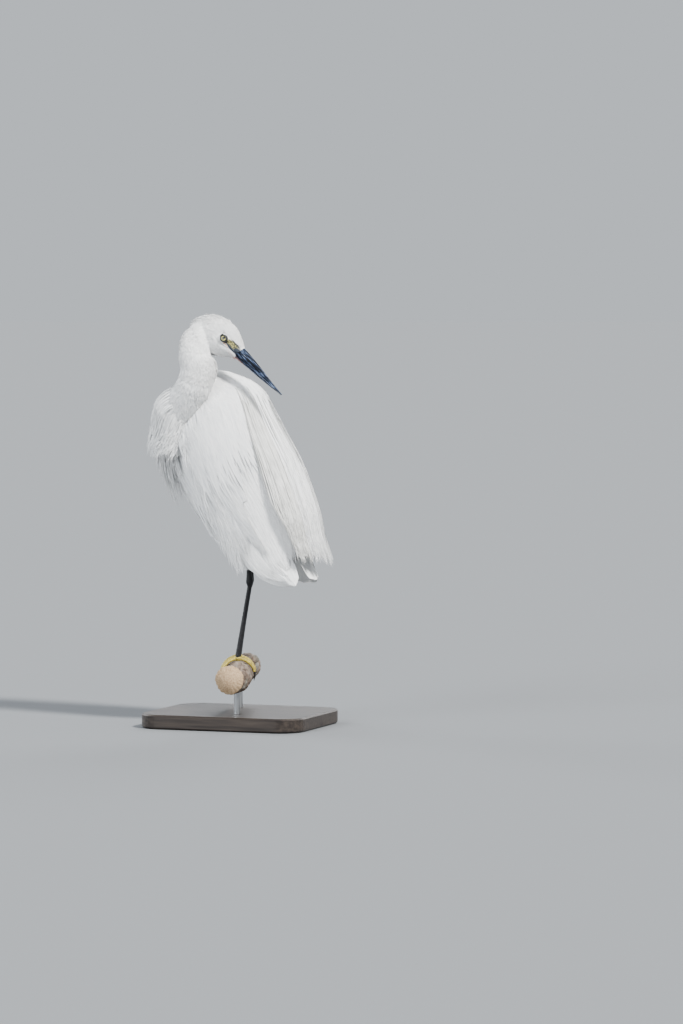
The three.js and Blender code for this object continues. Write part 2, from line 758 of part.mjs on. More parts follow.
// The whole bird and its stand
const COLOURS = {
  plumage: { color: 0xf2f1ec, roughness: 0.9, metalness: 0 },
  bill: { color: 0x23272e, roughness: 0.45, metalness: 0 },
  eye: { color: 0xe6dc8a, roughness: 0.08, metalness: 0 },
  shank: { color: 0x17181a, roughness: 0.55, metalness: 0 },
  foot: { color: 0xc9b64a, roughness: 0.6, metalness: 0 },
  claw: { color: 0x1b1a18, roughness: 0.4, metalness: 0 },
  bark: { color: 0x6b5644, roughness: 0.95, metalness: 0 },
  base: { color: 0x2c2b29, roughness: 0.6, metalness: 0 },
  steel: { color: 0x9a9da1, roughness: 0.35, metalness: 1 },
};

const bird = new THREE.Group();

function addNode(name, made, colour) {
  const { vertProperties, triVerts } = made.getMesh();
  const geometry = new THREE.BufferGeometry();
  geometry.setAttribute("position", new THREE.BufferAttribute(new Float32Array(vertProperties), 3));
  geometry.setIndex(new THREE.BufferAttribute(new Uint32Array(triVerts), 1));
  geometry.computeVertexNormals();
  const mesh = new THREE.Mesh(geometry, new THREE.MeshStandardMaterial(COLOURS[colour]));
  mesh.name = name;
  bird.add(mesh);
}

addNode("head", head(), "plumage");
addNode("bill_upper", upperBill(), "bill");
addNode("bill_lower", mandible(GONYS, -1), "bill");
addNode("neck_upper", neckUpper(), "plumage");
addNode("neck_lower", neckLower(), "plumage");
addNode("torso", torso(), "plumage");
addNode("tail", tail(), "plumage");
for (const [word, limb] of Object.entries(LEGS)) {
  const eye = onHead(EYE_PLACE.s, limb.side * EYE_PLACE.w, EYE_PLACE.n);
  addNode(`eye_${word}`, ball(eye, EYE_RADIUS), "eye");
  addNode(`wing_${word}`, wing(limb.side), "plumage");
  addNode(`thigh_${word}`, thigh(limb), "plumage");
  addNode(`leg_${word}`, leg(limb), "shank");
  addNode(`foot_${word}`, foot(limb), "foot");
  for (const toe of TOES) addNode(`claw_${word}_${toe.name}`, claw(limb, toe), "claw");
}
addNode("perch", perch(), "bark");
addNode("stand_base", standBase(), "base");
addNode("stand_rod_1", standRod(-1), "steel");
addNode("stand_rod_2", standRod(1), "steel");

export default bird;
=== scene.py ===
"""A life-size little egret at rest on a cut branch over a display stand, dressed for Blender 4.5.

Lengths are millimetres in the frame of the part until a mesh is made, which is in metres.
+Z is up, the body faces -X and its left side is -Y.
"""

import math

import bpy
import numpy as np
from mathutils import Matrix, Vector
from mathutils.kdtree import KDTree


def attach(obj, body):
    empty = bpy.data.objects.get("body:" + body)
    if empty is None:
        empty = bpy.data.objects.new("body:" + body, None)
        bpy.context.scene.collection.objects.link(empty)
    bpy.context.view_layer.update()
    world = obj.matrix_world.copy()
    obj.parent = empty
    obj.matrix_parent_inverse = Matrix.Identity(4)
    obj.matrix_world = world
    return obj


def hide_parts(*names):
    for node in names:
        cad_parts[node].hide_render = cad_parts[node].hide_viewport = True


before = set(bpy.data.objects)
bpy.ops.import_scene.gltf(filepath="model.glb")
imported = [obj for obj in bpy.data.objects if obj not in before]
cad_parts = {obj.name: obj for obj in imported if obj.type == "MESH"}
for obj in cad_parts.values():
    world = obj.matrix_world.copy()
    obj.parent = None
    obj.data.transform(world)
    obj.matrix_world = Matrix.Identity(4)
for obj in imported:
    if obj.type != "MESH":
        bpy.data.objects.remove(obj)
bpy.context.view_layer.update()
MM = 0.001
rng = np.random.default_rng(11)

# Camera
VIEW_TURN = math.radians(20)
VIEW_TILT = math.radians(3)
CAMERA_DISTANCE = 6.0
MM_PER_PIXEL = 1.28
PICTURE = (683, 1024)
AIM = Vector((0.1221, 0.0444, 0.2734))
SENSOR = 36.0

scene = bpy.context.scene
scene.render.resolution_x, scene.render.resolution_y = PICTURE
lens = bpy.data.cameras.new("camera")
lens.sensor_width = SENSOR
lens.lens = CAMERA_DISTANCE / (MM_PER_PIXEL * MM) * SENSOR / PICTURE[1]
lens.dof.use_dof = False
lens.clip_end = 50
camera = bpy.data.objects.new("camera", lens)
scene.collection.objects.link(camera)
level = math.cos(VIEW_TILT)
toward = Vector((math.sin(VIEW_TURN) * level, -math.cos(VIEW_TURN) * level, math.sin(VIEW_TILT)))
camera.location = AIM + toward * CAMERA_DISTANCE
camera.rotation_euler = (-toward).to_track_quat("-Z", "Y").to_euler()
scene.camera = camera


# Sums with arrays
def unit(v):
    return v / np.maximum(np.linalg.norm(v, axis=-1, keepdims=True), 1e-9)


def smooth(x, low=0.0, high=1.0):
    x = np.clip((np.asarray(x, float) - low) / (high - low), 0, 1)
    return x * x * (3 - 2 * x)


def mix(a, b, t):
    return a + (b - a) * t


def track(rows):
    """Smooth values through rows of numbers, spread evenly over t from 0 to 1."""
    rows = np.array(rows, float)
    last = len(rows) - 1

    def at(t):
        place = np.clip(np.asarray(t, float), 0, 1) * last
        i = np.minimum(place.astype(int), last - 1)
        f = (place - i)[..., None]
        a, b, c, d = (rows[np.clip(i + k, 0, last)] for k in (-1, 0, 1, 2))
        square = 2 * a - 5 * b + 4 * c - d
        cubic = -a + 3 * b - 3 * c + d
        return 0.5 * (2 * b + (c - a) * f + square * f**2 + cubic * f**3)

    return at


def from_view(v):
    """A point given by what is right, away and up, seen from behind the left side."""
    v = np.asarray(v, float)
    c, s = math.cos(VIEW_TURN), math.sin(VIEW_TURN)
    return np.stack([v[..., 0] * c - v[..., 1] * s, v[..., 0] * s + v[..., 1] * c, v[..., 2]], -1)


def circle(count):
    """Angles spread evenly round a full turn."""
    return np.linspace(0, 2 * math.pi, count, endpoint=False)


# The body's forms
TRUNK_RINGS = track(
    [
        [-62, 447, 14, 15],
        [-57, 428, 40, 27],
        [-42, 395, 64, 37],
        [-20, 350, 71, 43],
        [8, 300, 69, 43],
        [36, 262, 52, 38],
        [56, 240, 26, 25],
        [68, 222, 11, 14],
    ]
)
MANTLE_RINGS = track(
    [
        [-62, 447, 16, 18],
        [-57, 428, 47, 32],
        [-42, 395, 77, 46],
        [-20, 350, 80, 57],
        [8, 300, 80, 61],
        [36, 262, 68, 60],
        [56, 240, 55, 56],
        [68, 222, 46, 51],
    ]
)
TAILWARD = np.array([0.5, 0, -0.866])
BACKWARD = np.array([0.866, 0, 0.5])
LEFTWARD = np.array([0, -1.0, 0])
DRAPE = np.array([0.36, 0, -0.93])


def on_trunk(t, angle, lift=0.0, rings=TRUNK_RINGS):
    """Places over the trunk and the ways out of it. Angle 0 is the back, a quarter turn the left side."""
    t, angle, lift = np.broadcast_arrays(t, angle, lift)
    x, z, depth, width = np.moveaxis(rings(t), -1, 0)
    c, s = np.cos(angle), np.sin(angle)
    out = unit((c / depth)[..., None] * BACKWARD + (s / width)[..., None] * LEFTWARD)
    middle = np.stack([x, np.zeros_like(x), z], -1)
    at = middle + (depth * c)[..., None] * BACKWARD + (width * s)[..., None] * LEFTWARD
    at = at + lift[..., None] * out + 66 * np.maximum(t - 1, 0)[..., None] * DRAPE
    return at, out


LOWER_NECK = track(
    from_view([[-80, 12, 364], [-84, 4, 384], [-80, -5, 405], [-67, -14, 423], [-57, -22, 441]])
)
UPPER_NECK = track(
    from_view([
        [-57, -22, 441], [-52, -27, 457], [-56.5, -25, 474],
        [-53, -21, 490], [-45, -17, 501], [-37, -15, 506],
    ])
)
NECK_BASE = from_view([-68, -13, 422])
LOWER_RADII = track([[19, 19], [28, 28], [27.5, 27.5], [22.5, 22.5], [22, 22]])
UPPER_RADII = track([[22, 22], [23.5, 21], [20.8, 17], [21.5, 15.5], [17.5, 13.5], [10, 9]])

BILLWARD = unit(from_view([0.665, -0.375, -0.643]))
CROWNWARD = unit(from_view([0.69, 0, 0.72]))
RIGHTWARD = unit(np.cross(BILLWARD, CROWNWARD))
BILL_ROOT = from_view([0.9, -33, 477])
BILL_LENGTH = 80
EYE_RADIUS = 5.4
EYE_PLACE = (-24.5, 10.6, -0.5)
HEAD_RINGS = track(
    [
        [-74, -4, -11, -18, 5.5],
        [-66, 8, -8, -24, 12],
        [-54, 16.4, -6, -29, 16.4],
        [-38, 20.4, -4, -29, 16.4],
        [-24, 19.6, -3, -24, 13.8],
        [-10, 14.6, -2, -16, 9.8],
        [0, 9, -1, -10.8, 6.4],
    ]
)


def on_head(s, w, n):
    s, w, n = np.broadcast_arrays(np.asarray(s, float), w, n)
    return BILL_ROOT + s[..., None] * BILLWARD + w[..., None] * RIGHTWARD + n[..., None] * CROWNWARD


def eye_centre(side):
    """The middle of an eyeball, where side is 1 on the right."""
    s, w, n = EYE_PLACE
    return on_head(s, side * w, n)


def head_place(points):
    """The head's own s, w and n for points in the part's frame."""
    v = points - BILL_ROOT
    return v @ BILLWARD, v @ RIGHTWARD, v @ CROWNWARD


LEGS = {
    "left": dict(
        side=-1, hip=(6, -27, 276), knee=(13, -25, 240), hem=(19.2, -18.2, 207),
        ankle=(18.9, -14.4, 181), foot=(3.4, -16.9, 89),
    ),
    "right": dict(
        side=1, hip=(4, 27, 276), knee=(6, 25, 240), hem=(7.6, 20.5, 207),
        ankle=(7.2, 17.5, 181), foot=(-8.3, 15.1, 89),
    ),
}
HEM_RADIUS = 6.5

WING_UPPER_EDGE = track([
    [-14, 30, 430], [10, 32, 413], [36, 36, 375], [61, 36, 326],
    [78, 33, 282], [90, 29, 235], [93, 33, 184],
])
WING_LOWER_EDGE = track([
    [-50, 45, 352], [-38, 48, 322], [-16, 50, 285], [5, 50, 248],
    [26, 47, 214], [47, 43, 192.5], [85, 33, 182],
])


def on_wing(side, a, b, lift=0.0):
    """Places over a folded wing's outer face: a runs from shoulder to tip and b from upper to lower edge."""
    a, b, lift = np.broadcast_arrays(np.asarray(a, float), b, lift)

    def raw(along, across):
        upper, lower = WING_UPPER_EDGE(along), WING_LOWER_EDGE(along)
        at = mix(upper, lower, across[..., None])
        at[..., 1] += 4 * across * (1 - across) * mix(9, 4, along)
        at[..., 1] *= side
        return at

    step = 0.02
    a0, b0 = np.clip(a, step, 1 - step), np.clip(b, step, 1 - step)
    out = unit(np.cross(raw(a0 + step, b0) - raw(a0 - step, b0), raw(a0, b0 + step) - raw(a0, b0 - step)))
    out = out * np.sign(out[..., 1:2] * side)
    return raw(np.minimum(a, 1), b) + lift[..., None] * out, out


def wing_roots(side, a, b):
    """Where the feathers that start at a and b lie on the map of the skin."""
    return np.stack([0.25 + 0.5 * (side > 0) + 0.2 * (b - 0.5), 0.95 - 0.9 * a], -1)


# Making meshes
# The side of a tuft's patch on the map of the skin.
PATCH = 0.003


def read(items, name, width=1, kind=float):
    """One property of all items of a mesh, as an array."""
    values = np.empty(len(items) * width, kind)
    items.foreach_get(name, values)
    return values.reshape(-1, width) if width > 1 else values


def make_piece(name, points, faces, material, replaced, slot, uv=None):
    """One named mesh of the object. uv is one pair a vertex, and may be left out."""
    mesh = bpy.data.meshes.new(name)
    mesh.from_pydata((points * MM).tolist(), [], face_lists(faces))
    mesh.polygons.foreach_set("use_smooth", np.ones(len(mesh.polygons), bool))
    mesh.update()
    if uv is not None:
        corner = read(mesh.loops, "vertex_index", kind=int)
        layer = mesh.uv_layers.new(name="OFBake")
        layer.data.foreach_set("uv", np.asarray(uv, np.float32)[corner].ravel())
    mesh.materials.append(material)
    obj = bpy.data.objects.new(name, mesh)
    scene.collection.objects.link(obj)
    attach(obj, "root")
    if replaced:
        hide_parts(*replaced)
    return obj


def face_lists(faces):
    return faces.tolist() if isinstance(faces, np.ndarray) else faces


def grid_faces(rows, columns):
    """Quads between closed rings of points."""
    i, j = np.meshgrid(np.arange(rows - 1), np.arange(columns), indexing="ij")
    nxt = (j + 1) % columns
    low, high = i * columns, (i + 1) * columns
    return np.stack([low + j, low + nxt, high + nxt, high + j], -1).reshape(-1, 4)


def band_faces(bands, rows, columns):
    """Quads along open bands, each of some rows of points."""
    i, j, c = np.meshgrid(np.arange(bands), np.arange(rows - 1), np.arange(columns - 1), indexing="ij")
    base = (i * rows + j) * columns + c
    return np.stack([base, base + 1, base + columns + 1, base + columns], -1).reshape(-1, 4)


def loft(rings):
    """Rings (rows, columns, 3) as points and faces, closed with a fan of triangles at each end."""
    rows, columns = rings.shape[:2]
    points = np.concatenate([rings.reshape(-1, 3), rings[0].mean(0)[None], rings[-1].mean(0)[None]])
    faces = grid_faces(rows, columns).tolist()
    a, b = rows * columns, rows * columns + 1
    last = (rows - 1) * columns
    for j in range(columns):
        faces.append([a, (j + 1) % columns, j])
        faces.append([b, last + j, last + (j + 1) % columns])
    return points, faces


def tube_rings(path, wide, high, sides, up):
    """Rings round a path (rows, 3), with radii along and across."""
    along = unit(np.gradient(path, axis=0))
    across = unit(np.cross(np.asarray(up, float), along))
    over = np.cross(along, across)
    angle = circle(sides)[None, :, None]
    wide = np.broadcast_to(wide, path.shape[:1])[:, None, None]
    high = np.broadcast_to(high, path.shape[:1])[:, None, None]
    ring = wide * np.cos(angle) * across[:, None] + high * np.sin(angle) * over[:, None]
    return path[:, None] + ring


def joined(parts):
    """Several (points, faces) as one."""
    points, faces, start = [], [], 0
    for p, f in parts:
        points.append(p)
        faces += [[i + start for i in face] for face in face_lists(f)]
        start += len(p)
    return np.concatenate(points), faces


def patches(roots, k, across):
    """Where strips of k rows lie on the map. across runs from -1 to 1 over their width."""
    u = roots[:, None, None, 0] + PATCH * across / 2
    v = roots[:, None, None, 1] + PATCH * np.linspace(-0.5, 0.5, k)[None, :, None]
    return np.stack(np.broadcast_arrays(u, v), -1).reshape(-1, 2)


def taper(steps, stops, sizes):
    """Widths along a strip, relative to its own."""
    return np.interp(np.linspace(0, 1, steps), stops, sizes)[None]


def strips(name, path, out, width, roots, material, roll=0.0, ridge=0.0):
    """A piece of thin strips along paths (n, k, 3), whose faces look out from the body.

    roots are where each strip starts on the map of the skin.
    """
    n, k = path.shape[:2]
    along = unit(np.gradient(path, axis=1))
    side = unit(np.cross(along, out))
    facing = np.cross(side, along)
    roll = np.broadcast_to(roll, n)[:, None, None]
    half = (width / 2)[..., None] * (side * np.cos(roll) + facing * np.sin(roll))
    crest = [path + ridge * facing] if ridge else []
    rows = np.stack([path - half, *crest, path + half], 2)
    m = rows.shape[2]
    uv = patches(roots, k, np.linspace(-1, 1, m))
    make_piece(name, rows.reshape(-1, 3), band_faces(n, k, m), material, (), "plumage", uv)


# Materials
class Look:
    """A material made of nodes, with a few short ways to add them."""

    def __init__(self, name, colour, roughness, metallic=0.0, coat=0.0):
        self.material = bpy.data.materials.new(name)
        self.material.use_nodes = True
        self.tree = self.material.node_tree
        self.shader = self.tree.nodes["Principled BSDF"]
        self.shader.inputs["Base Color"].default_value = (*colour, 1)
        self.shader.inputs["Roughness"].default_value = roughness
        self.shader.inputs["Metallic"].default_value = metallic
        self.shader.inputs["Coat Weight"].default_value = coat

    def node(self, kind, **settings):
        made = self.tree.nodes.new(kind)
        for key, value in settings.items():
            setattr(made, key, value)
        return made

    def link(self, a, b):
        self.tree.links.new(a, b)

    def place(self):
        return self.node("ShaderNodeTexCoord").outputs["Object"]

    def vector(self, operation, start, value=None):
        """The outputs of one sum with vectors, where the second vector may be left out."""
        made = self.node("ShaderNodeVectorMath", operation=operation)
        self.link(start, made.inputs[0])
        if value is not None:
            made.inputs[1].default_value = tuple(value)
        return made.outputs

    def along(self, start, ways):
        """How far a vector reaches along three ways."""
        parts = self.node("ShaderNodeCombineXYZ")
        for k, way in enumerate(ways):
            self.link(self.vector("DOT_PRODUCT", start, way)["Value"], parts.inputs[k])
        return parts.outputs[0]

    def scaled(self, axes, scale):
        """The place along three directions, each with its own scale a millimetre."""
        return self.along(self.place(), [np.asarray(axis) * size / MM for axis, size in zip(axes, scale)])

    def noise(self, vector, scale=1.0, detail=3.0, rough=0.5):
        made = self.node("ShaderNodeTexNoise")
        made.inputs["Scale"].default_value = scale
        made.inputs["Detail"].default_value = detail
        made.inputs["Roughness"].default_value = rough
        self.link(vector, made.inputs["Vector"])
        return made.outputs["Fac"]

    def cells(self, vector, scale):
        made = self.node("ShaderNodeTexVoronoi", feature="DISTANCE_TO_EDGE")
        made.inputs["Scale"].default_value = scale
        self.link(vector, made.inputs["Vector"])
        return made.outputs["Distance"]

    def ramp(self, value, stops):
        made = self.node("ShaderNodeValToRGB")
        bar = made.color_ramp
        while len(bar.elements) < len(stops):
            bar.elements.new(0.5)
        for element, (at, colour) in zip(bar.elements, stops):
            element.position = at
            element.color = (*colour, 1)
        self.link(value, made.inputs["Fac"])
        return made.outputs["Color"]

    def blend(self, factor, a, b):
        """Colour a, or colour b where the factor is 1. Each is numbers or another node's colour."""
        made = self.node("ShaderNodeMix", data_type="RGBA")
        sockets = [s for s in made.inputs if s.enabled]
        for socket, value in zip(sockets, (factor, a, b)):
            if isinstance(value, tuple):
                socket.default_value = (*value, 1)
            else:
                self.link(value, socket)
        return [s for s in made.outputs if s.enabled][0]

    def near(self, centre, axes, radii, soft):
        """1 inside an ellipsoid, given in millimetres, and 0 beyond its soft edge."""
        shift = self.vector("SUBTRACT", self.place(), centre * MM)[0]
        inside = self.along(shift, [axis / (radius * MM) for axis, radius in zip(axes, radii)])
        fade = self.node("ShaderNodeMapRange", interpolation_type="SMOOTHSTEP")
        fade.inputs["From Min"].default_value = 1 + soft
        fade.inputs["From Max"].default_value = 1 - soft
        self.link(self.vector("LENGTH", inside)["Value"], fade.inputs["Value"])
        return fade.outputs["Result"]

    def bump(self, height, strength, distance):
        made = self.node("ShaderNodeBump")
        made.inputs["Strength"].default_value = strength
        made.inputs["Distance"].default_value = distance * MM
        self.link(height, made.inputs["Height"])
        self.link(made.outputs["Normal"], self.shader.inputs["Normal"])

    def colour(self, socket):
        self.link(socket, self.shader.inputs["Base Color"])


HEAD_AXES = (BILLWARD, RIGHTWARD, CROWNWARD)
WHITE = (0.86, 0.86, 0.85)


def white_look(name, tint=WHITE, shade=(0.74, 0.75, 0.76), scale=(0.35, 0.35, 0.06)):
    look = Look(name, tint, 0.72)
    streak = look.noise(look.scaled((BACKWARD, LEFTWARD, TAILWARD), scale), 1.0, 4.0)
    look.colour(look.ramp(streak, [(0.3, shade), (0.62, tint)]))
    return look.material


PLUME = white_look("plume")
# The white plume with painted shade: a greyer copy for the outer back plumes, whose shade is painted into
# their colour.
PAINTED_SHADE_PLUME = white_look("shaded_plume", (0.74, 0.735, 0.71), (0.56, 0.56, 0.54))
VANE = white_look("vane", (0.88, 0.88, 0.87), (0.8, 0.8, 0.8), (0.2, 0.2, 0.03))
FINE = white_look("fine_feather", (0.87, 0.87, 0.86), (0.79, 0.79, 0.79), (0.5, 0.5, 0.2))


def tilted(amount):
    """The head's axes, with the first one turned a little towards the throat."""
    first = unit(BILLWARD - amount * CROWNWARD)
    return first, RIGHTWARD, np.cross(first, RIGHTWARD)


def skin_look():
    """White skin under the coat, with the bare, coloured skin between eye and bill."""
    look = Look("skin", (0.8, 0.8, 0.79), 0.7)
    grain = look.noise(look.scaled(HEAD_AXES, (0.5, 0.5, 0.5)), 1.6, 4)
    yellows = [(0.4, (0.04, 0.042, 0.035)), (0.5, (0.26, 0.24, 0.1)), (0.6, (0.6, 0.54, 0.24))]
    lore = look.ramp(grain, yellows)
    spots = look.ramp(grain, [(0.42, (0.015, 0.018, 0.024)), (0.6, (0.16, 0.16, 0.12))])
    wedge = look.ramp(grain, [(0.36, (0.01, 0.013, 0.02)), (0.66, (0.05, 0.065, 0.09))])
    pink = (0.55, 0.36, 0.26)
    dark = (0.014, 0.015, 0.017)
    chin = (0.6, 0.42, 0.38)
    eye_s, _, eye_n = EYE_PLACE
    # Place on the right side of the head, tilt, radii, softness of the edge and colour.
    patches = (
        ((-11, 9.5, 1.0), 0.0, (12.5, 6, 3.9), 0.25, lore),
        ((-17.5, 11, -5.4), 0.2, (5.5, 6, 1.5), 0.4, pink),
        ((-10, 8.4, 5.2), 0.12, (11.5, 5, 1.5), 0.4, spots),
        ((-10, 10, -3.6), 0.14, (9.5, 6, 1.8), 0.3, wedge),
        ((0, 8, -1.2), 0.0, (8, 7, 5), 0.3, wedge),
        ((eye_s, 15, eye_n), 0.0, (5.2, 7, 4.9), 0.12, dark),
        ((eye_s + 1.2, 15, eye_n), 0.3, (6.6, 7, 3.2), 0.12, dark),
        ((eye_s - 1.2, 15, eye_n), 0.3, (6.6, 7, 3.2), 0.12, dark),
        ((-3, 5, -9.4), 0.16, (12, 6, 2.0), 0.5, chin),
    )
    colour = (0.82, 0.82, 0.81)
    for side in (-1, 1):
        for (s, w, n), tilt, radii, soft, paint in patches:
            inside = look.near(on_head(s, side * w, n), tilted(tilt), radii, soft)
            colour = look.blend(inside, colour, paint)
    look.colour(colour)
    look.bump(look.cells(look.scaled(HEAD_AXES, (1, 1, 1)), 1.1), 0.25, 0.25)
    return look.material


SKIN = skin_look()


def horn_look():
    look = Look("bill_horn", (0.01, 0.014, 0.024), 0.34)
    look.shader.inputs["Specular IOR Level"].default_value = 0.28
    grain = look.noise(look.scaled(HEAD_AXES, (0.03, 0.55, 0.55)), 1.4, 5, 0.62)
    # Dark stops are the horn's own grain; the pale blue stop is painted highlight, long lines of light along
    # the bill.
    grain_and_highlights = [(0.46, (0.002, 0.003, 0.007)), (0.53, (0.01, 0.018, 0.038)), (0.61, (0.12, 0.16, 0.25))]
    pink = look.near(on_head(5, 0, -9.2), HEAD_AXES, (15, 9, 2.6), 0.5)
    look.colour(look.blend(pink, look.ramp(grain, grain_and_highlights), (0.34, 0.2, 0.19)))
    look.bump(grain, 0.35, 0.3)
    return look.material


def scaly_look(name, dark, light, scale, rough):
    look = Look(name, dark, rough)
    cell = look.cells(look.scaled(np.eye(3), (1, 1, 0.8)), scale)
    look.colour(look.ramp(cell, [(0.0, dark), (0.28, light)]))
    look.bump(cell, 0.5, 0.4)
    return look.material


def bark_look():
    look = Look("bark", (0.2, 0.15, 0.12), 0.92)
    across = from_view([1, 0, 0])
    along = from_view([0, 1, 0])
    grain = look.noise(look.scaled((across, (0, 0, 1), along), (0.16, 0.16, 0.045)), 1.0, 8, 0.65)
    patch = look.noise(look.scaled(np.eye(3), (0.06, 0.06, 0.06)), 1.0, 3)
    browns = [(0.32, (0.035, 0.024, 0.018)), (0.5, (0.16, 0.115, 0.085)), (0.72, (0.32, 0.27, 0.23))]
    lichen = look.ramp(patch, [(0.52, (0, 0, 0)), (0.66, (0.5, 0.5, 0.5))])
    look.colour(look.blend(lichen, look.ramp(grain, browns), (0.3, 0.31, 0.27)))
    look.bump(grain, 0.9, 1.6)
    return look.material


def cut_wood_look():
    look = Look("cut_wood", (0.4, 0.29, 0.18), 0.8)
    grain = look.noise(look.scaled(np.eye(3), (0.5, 0.5, 0.5)), 1.2, 5)
    look.colour(look.ramp(grain, [(0.3, (0.3, 0.2, 0.12)), (0.7, (0.5, 0.38, 0.25))]))
    return look.material


def base_look():
    look = Look("dark_wood", (0.04, 0.032, 0.028), 0.42, coat=0.15)
    grain = look.noise(look.scaled(np.eye(3), (0.012, 0.3, 0.3)), 1.0, 6, 0.6)
    look.colour(look.ramp(grain, [(0.35, (0.022, 0.017, 0.015)), (0.7, (0.07, 0.055, 0.045))]))
    return look.material


HORN = horn_look()
SHANK = scaly_look("shank_skin", (0.008, 0.008, 0.009), (0.028, 0.028, 0.03), 0.55, 0.42)
FOOT = scaly_look("foot_skin", (0.2, 0.15, 0.03), (0.55, 0.46, 0.12), 0.6, 0.55)
CLAW = Look("claw_horn", (0.015, 0.014, 0.013), 0.35, coat=0.2).material
LID = Look("lid_skin", (0.035, 0.037, 0.036), 0.5).material
STEEL = Look("steel", (0.5, 0.51, 0.52), 0.32, metallic=1.0).material


def eye_look(side):
    """Pale yellow iris, dark pupil and a dark edge, by the distance from the eye's own axis."""
    look = Look("eye_" + ("right" if side > 0 else "left"), (0.7, 0.66, 0.3), 0.06, coat=1.0)
    centre = eye_centre(side)
    shift = look.vector("SUBTRACT", look.place(), centre * MM)[0]
    size = look.vector("LENGTH", look.vector("CROSS_PRODUCT", shift, RIGHTWARD / (EYE_RADIUS * MM))[0])
    stops = [
        (0.0, (0.004, 0.004, 0.005)),
        (0.34, (0.004, 0.004, 0.005)),
        (0.37, (0.36, 0.32, 0.09)),
        (0.44, (0.78, 0.74, 0.36)),
        (0.53, (0.7, 0.66, 0.3)),
        (0.6, (0.22, 0.2, 0.07)),
        (0.65, (0.008, 0.008, 0.008)),
    ]
    look.colour(look.ramp(size["Value"], stops))
    return look.material


# The skin under the coat, which lies this deep below the tips of the short coat.
COAT_DEPTH = 2.2
SKIN_VOXEL = 1.9
CHEEK = track([UPPER_NECK(0.45), UPPER_NECK(0.68), on_head(-54, 0, -8), on_head(-44, 0, -6)])
CHEEK_RADII = track([[19.5, 15.5], [18.5, 15.5], [15.5, 15.5], [13, 13]])
THROAT = track(from_view([[-52, -27, 456], [-55.5, -25, 441], [-63.5, -19, 424], [-74, -8, 406]]))
THROAT_RADII = track([[22.5, 21], [22.8, 22], [23.6, 23], [26, 26]])


def trunk_rings(grow):
    t = np.linspace(0, 1, 40)[:, None]
    angle = circle(56)[None]
    at = on_trunk(t, angle)[0]
    middle = at.mean(1, keepdims=True)
    size = np.linalg.norm(at - middle, axis=-1, keepdims=True)
    return middle + (at - middle) * (1 + grow / size)


def neck_tube(path, radii, grow):
    t = np.linspace(0, 1, 36)
    wide, high = (radii(t) + grow).T
    return tube_rings(path(t), wide, high, 36, from_view([0, 1, 0]))


def skull_rings(grow, rows=60, columns=64, first=0.0):
    t = np.linspace(first, 1, rows)
    s, top, level, bottom, half = HEAD_RINGS(t).T[..., None]
    angle = circle(columns)[None]
    grow = np.broadcast_to(grow, t.shape)[:, None]
    rise = np.where(np.cos(angle) > 0, top - level, level - bottom)
    return on_head(s + 0 * angle, (half + grow) * np.sin(angle), level + (rise + grow) * np.cos(angle))


def thigh_tube(leg, grow):
    path = track([leg["hip"], leg["knee"], leg["hem"]])
    t = np.linspace(0, 1, 24)
    wide, high = (mix(size, HEM_RADIUS, t**0.8) + grow for size in (20, 13))
    return tube_rings(path(t), wide, high, 28, LEFTWARD)


def skin_body():
    """The skin of trunk, neck and thighs, with its separate forms melted into one."""
    shells = [
        loft(trunk_rings(-COAT_DEPTH)),
        loft(neck_tube(LOWER_NECK, LOWER_RADII, -COAT_DEPTH)),
        loft(neck_tube(UPPER_NECK, UPPER_RADII, -1.6)),
        loft(neck_tube(CHEEK, CHEEK_RADII, -1.2)),
        loft(neck_tube(THROAT, THROAT_RADII, -1.2)),
        loft(skull_rings(mix(-1.7, -3.6, smooth(np.linspace(0, 1, 60), 0.5, 0.68)))),
        *(loft(thigh_tube(leg, -1.6)) for leg in LEGS.values()),
    ]
    points, faces = joined(shells)
    mesh = bpy.data.meshes.new("skin_source")
    mesh.from_pydata((points * MM).tolist(), [], faces)
    source = bpy.data.objects.new("skin_source", mesh)
    scene.collection.objects.link(source)
    remesh = source.modifiers.new("remesh", "REMESH")
    remesh.mode = "VOXEL"
    remesh.voxel_size = SKIN_VOXEL * MM
    relax = source.modifiers.new("relax", "SMOOTH")
    relax.iterations = 14
    relax.factor = 0.5
    melted = source.evaluated_get(bpy.context.evaluated_depsgraph_get())
    made = bpy.data.meshes.new_from_object(melted)
    bpy.data.objects.remove(source)
    return made


def face_shell():
    """The finer skin of the head, with lids, sunken lores and a line of mouth."""
    run = np.linspace(0.3, 1, 150)
    grow = np.interp(run, [0.3, 0.44, 0.54, 0.62, 1], [-5.5, -3.6, -1.9, -1.3, -0.5])
    rings = skull_rings(grow, rows=150, columns=160, first=0.3)
    s, w, n = head_place(rings.reshape(-1, 3))
    out = unit(np.stack([0 * s, w, (n + 3) * 0.8], -1))
    out = out[:, 1:2] * RIGHTWARD + out[:, 2:3] * CROWNWARD
    lore = np.exp(-(((s + 11) / 9) ** 4) - ((n + 1.2) / 4.6) ** 4)
    ridge = np.exp(-(((n - 5.4 - 0.24 * (s + 10)) / 1.5) ** 2) - ((s + 12) / 12) ** 4)
    mouth = np.exp(-(((n + 3.2 - 0.25 * s) / 0.7) ** 2)) * smooth(s, -21.5, -18.5)
    fold = np.exp(-(((n + 6.6 - 0.25 * s) / 1.4) ** 2)) * smooth(s, -22, -14)
    apart = np.hypot((s - EYE_PLACE[0]) / 1.05, (n - EYE_PLACE[2]) / 0.95)
    lid = np.exp(-(((apart - 5.2) / 1.1) ** 2))
    socket = np.exp(-((apart / 4.1) ** 6))
    around = np.exp(-(((apart - 8.4) / 1.5) ** 2))
    lift = -0.9 * lore + 0.8 * ridge - 0.8 * mouth + 0.35 * fold
    lift = lift + (np.abs(w) > 4) * (1.7 * lid - 3.2 * socket - 0.5 * around)
    return loft(rings + (lift[:, None] * out).reshape(rings.shape))


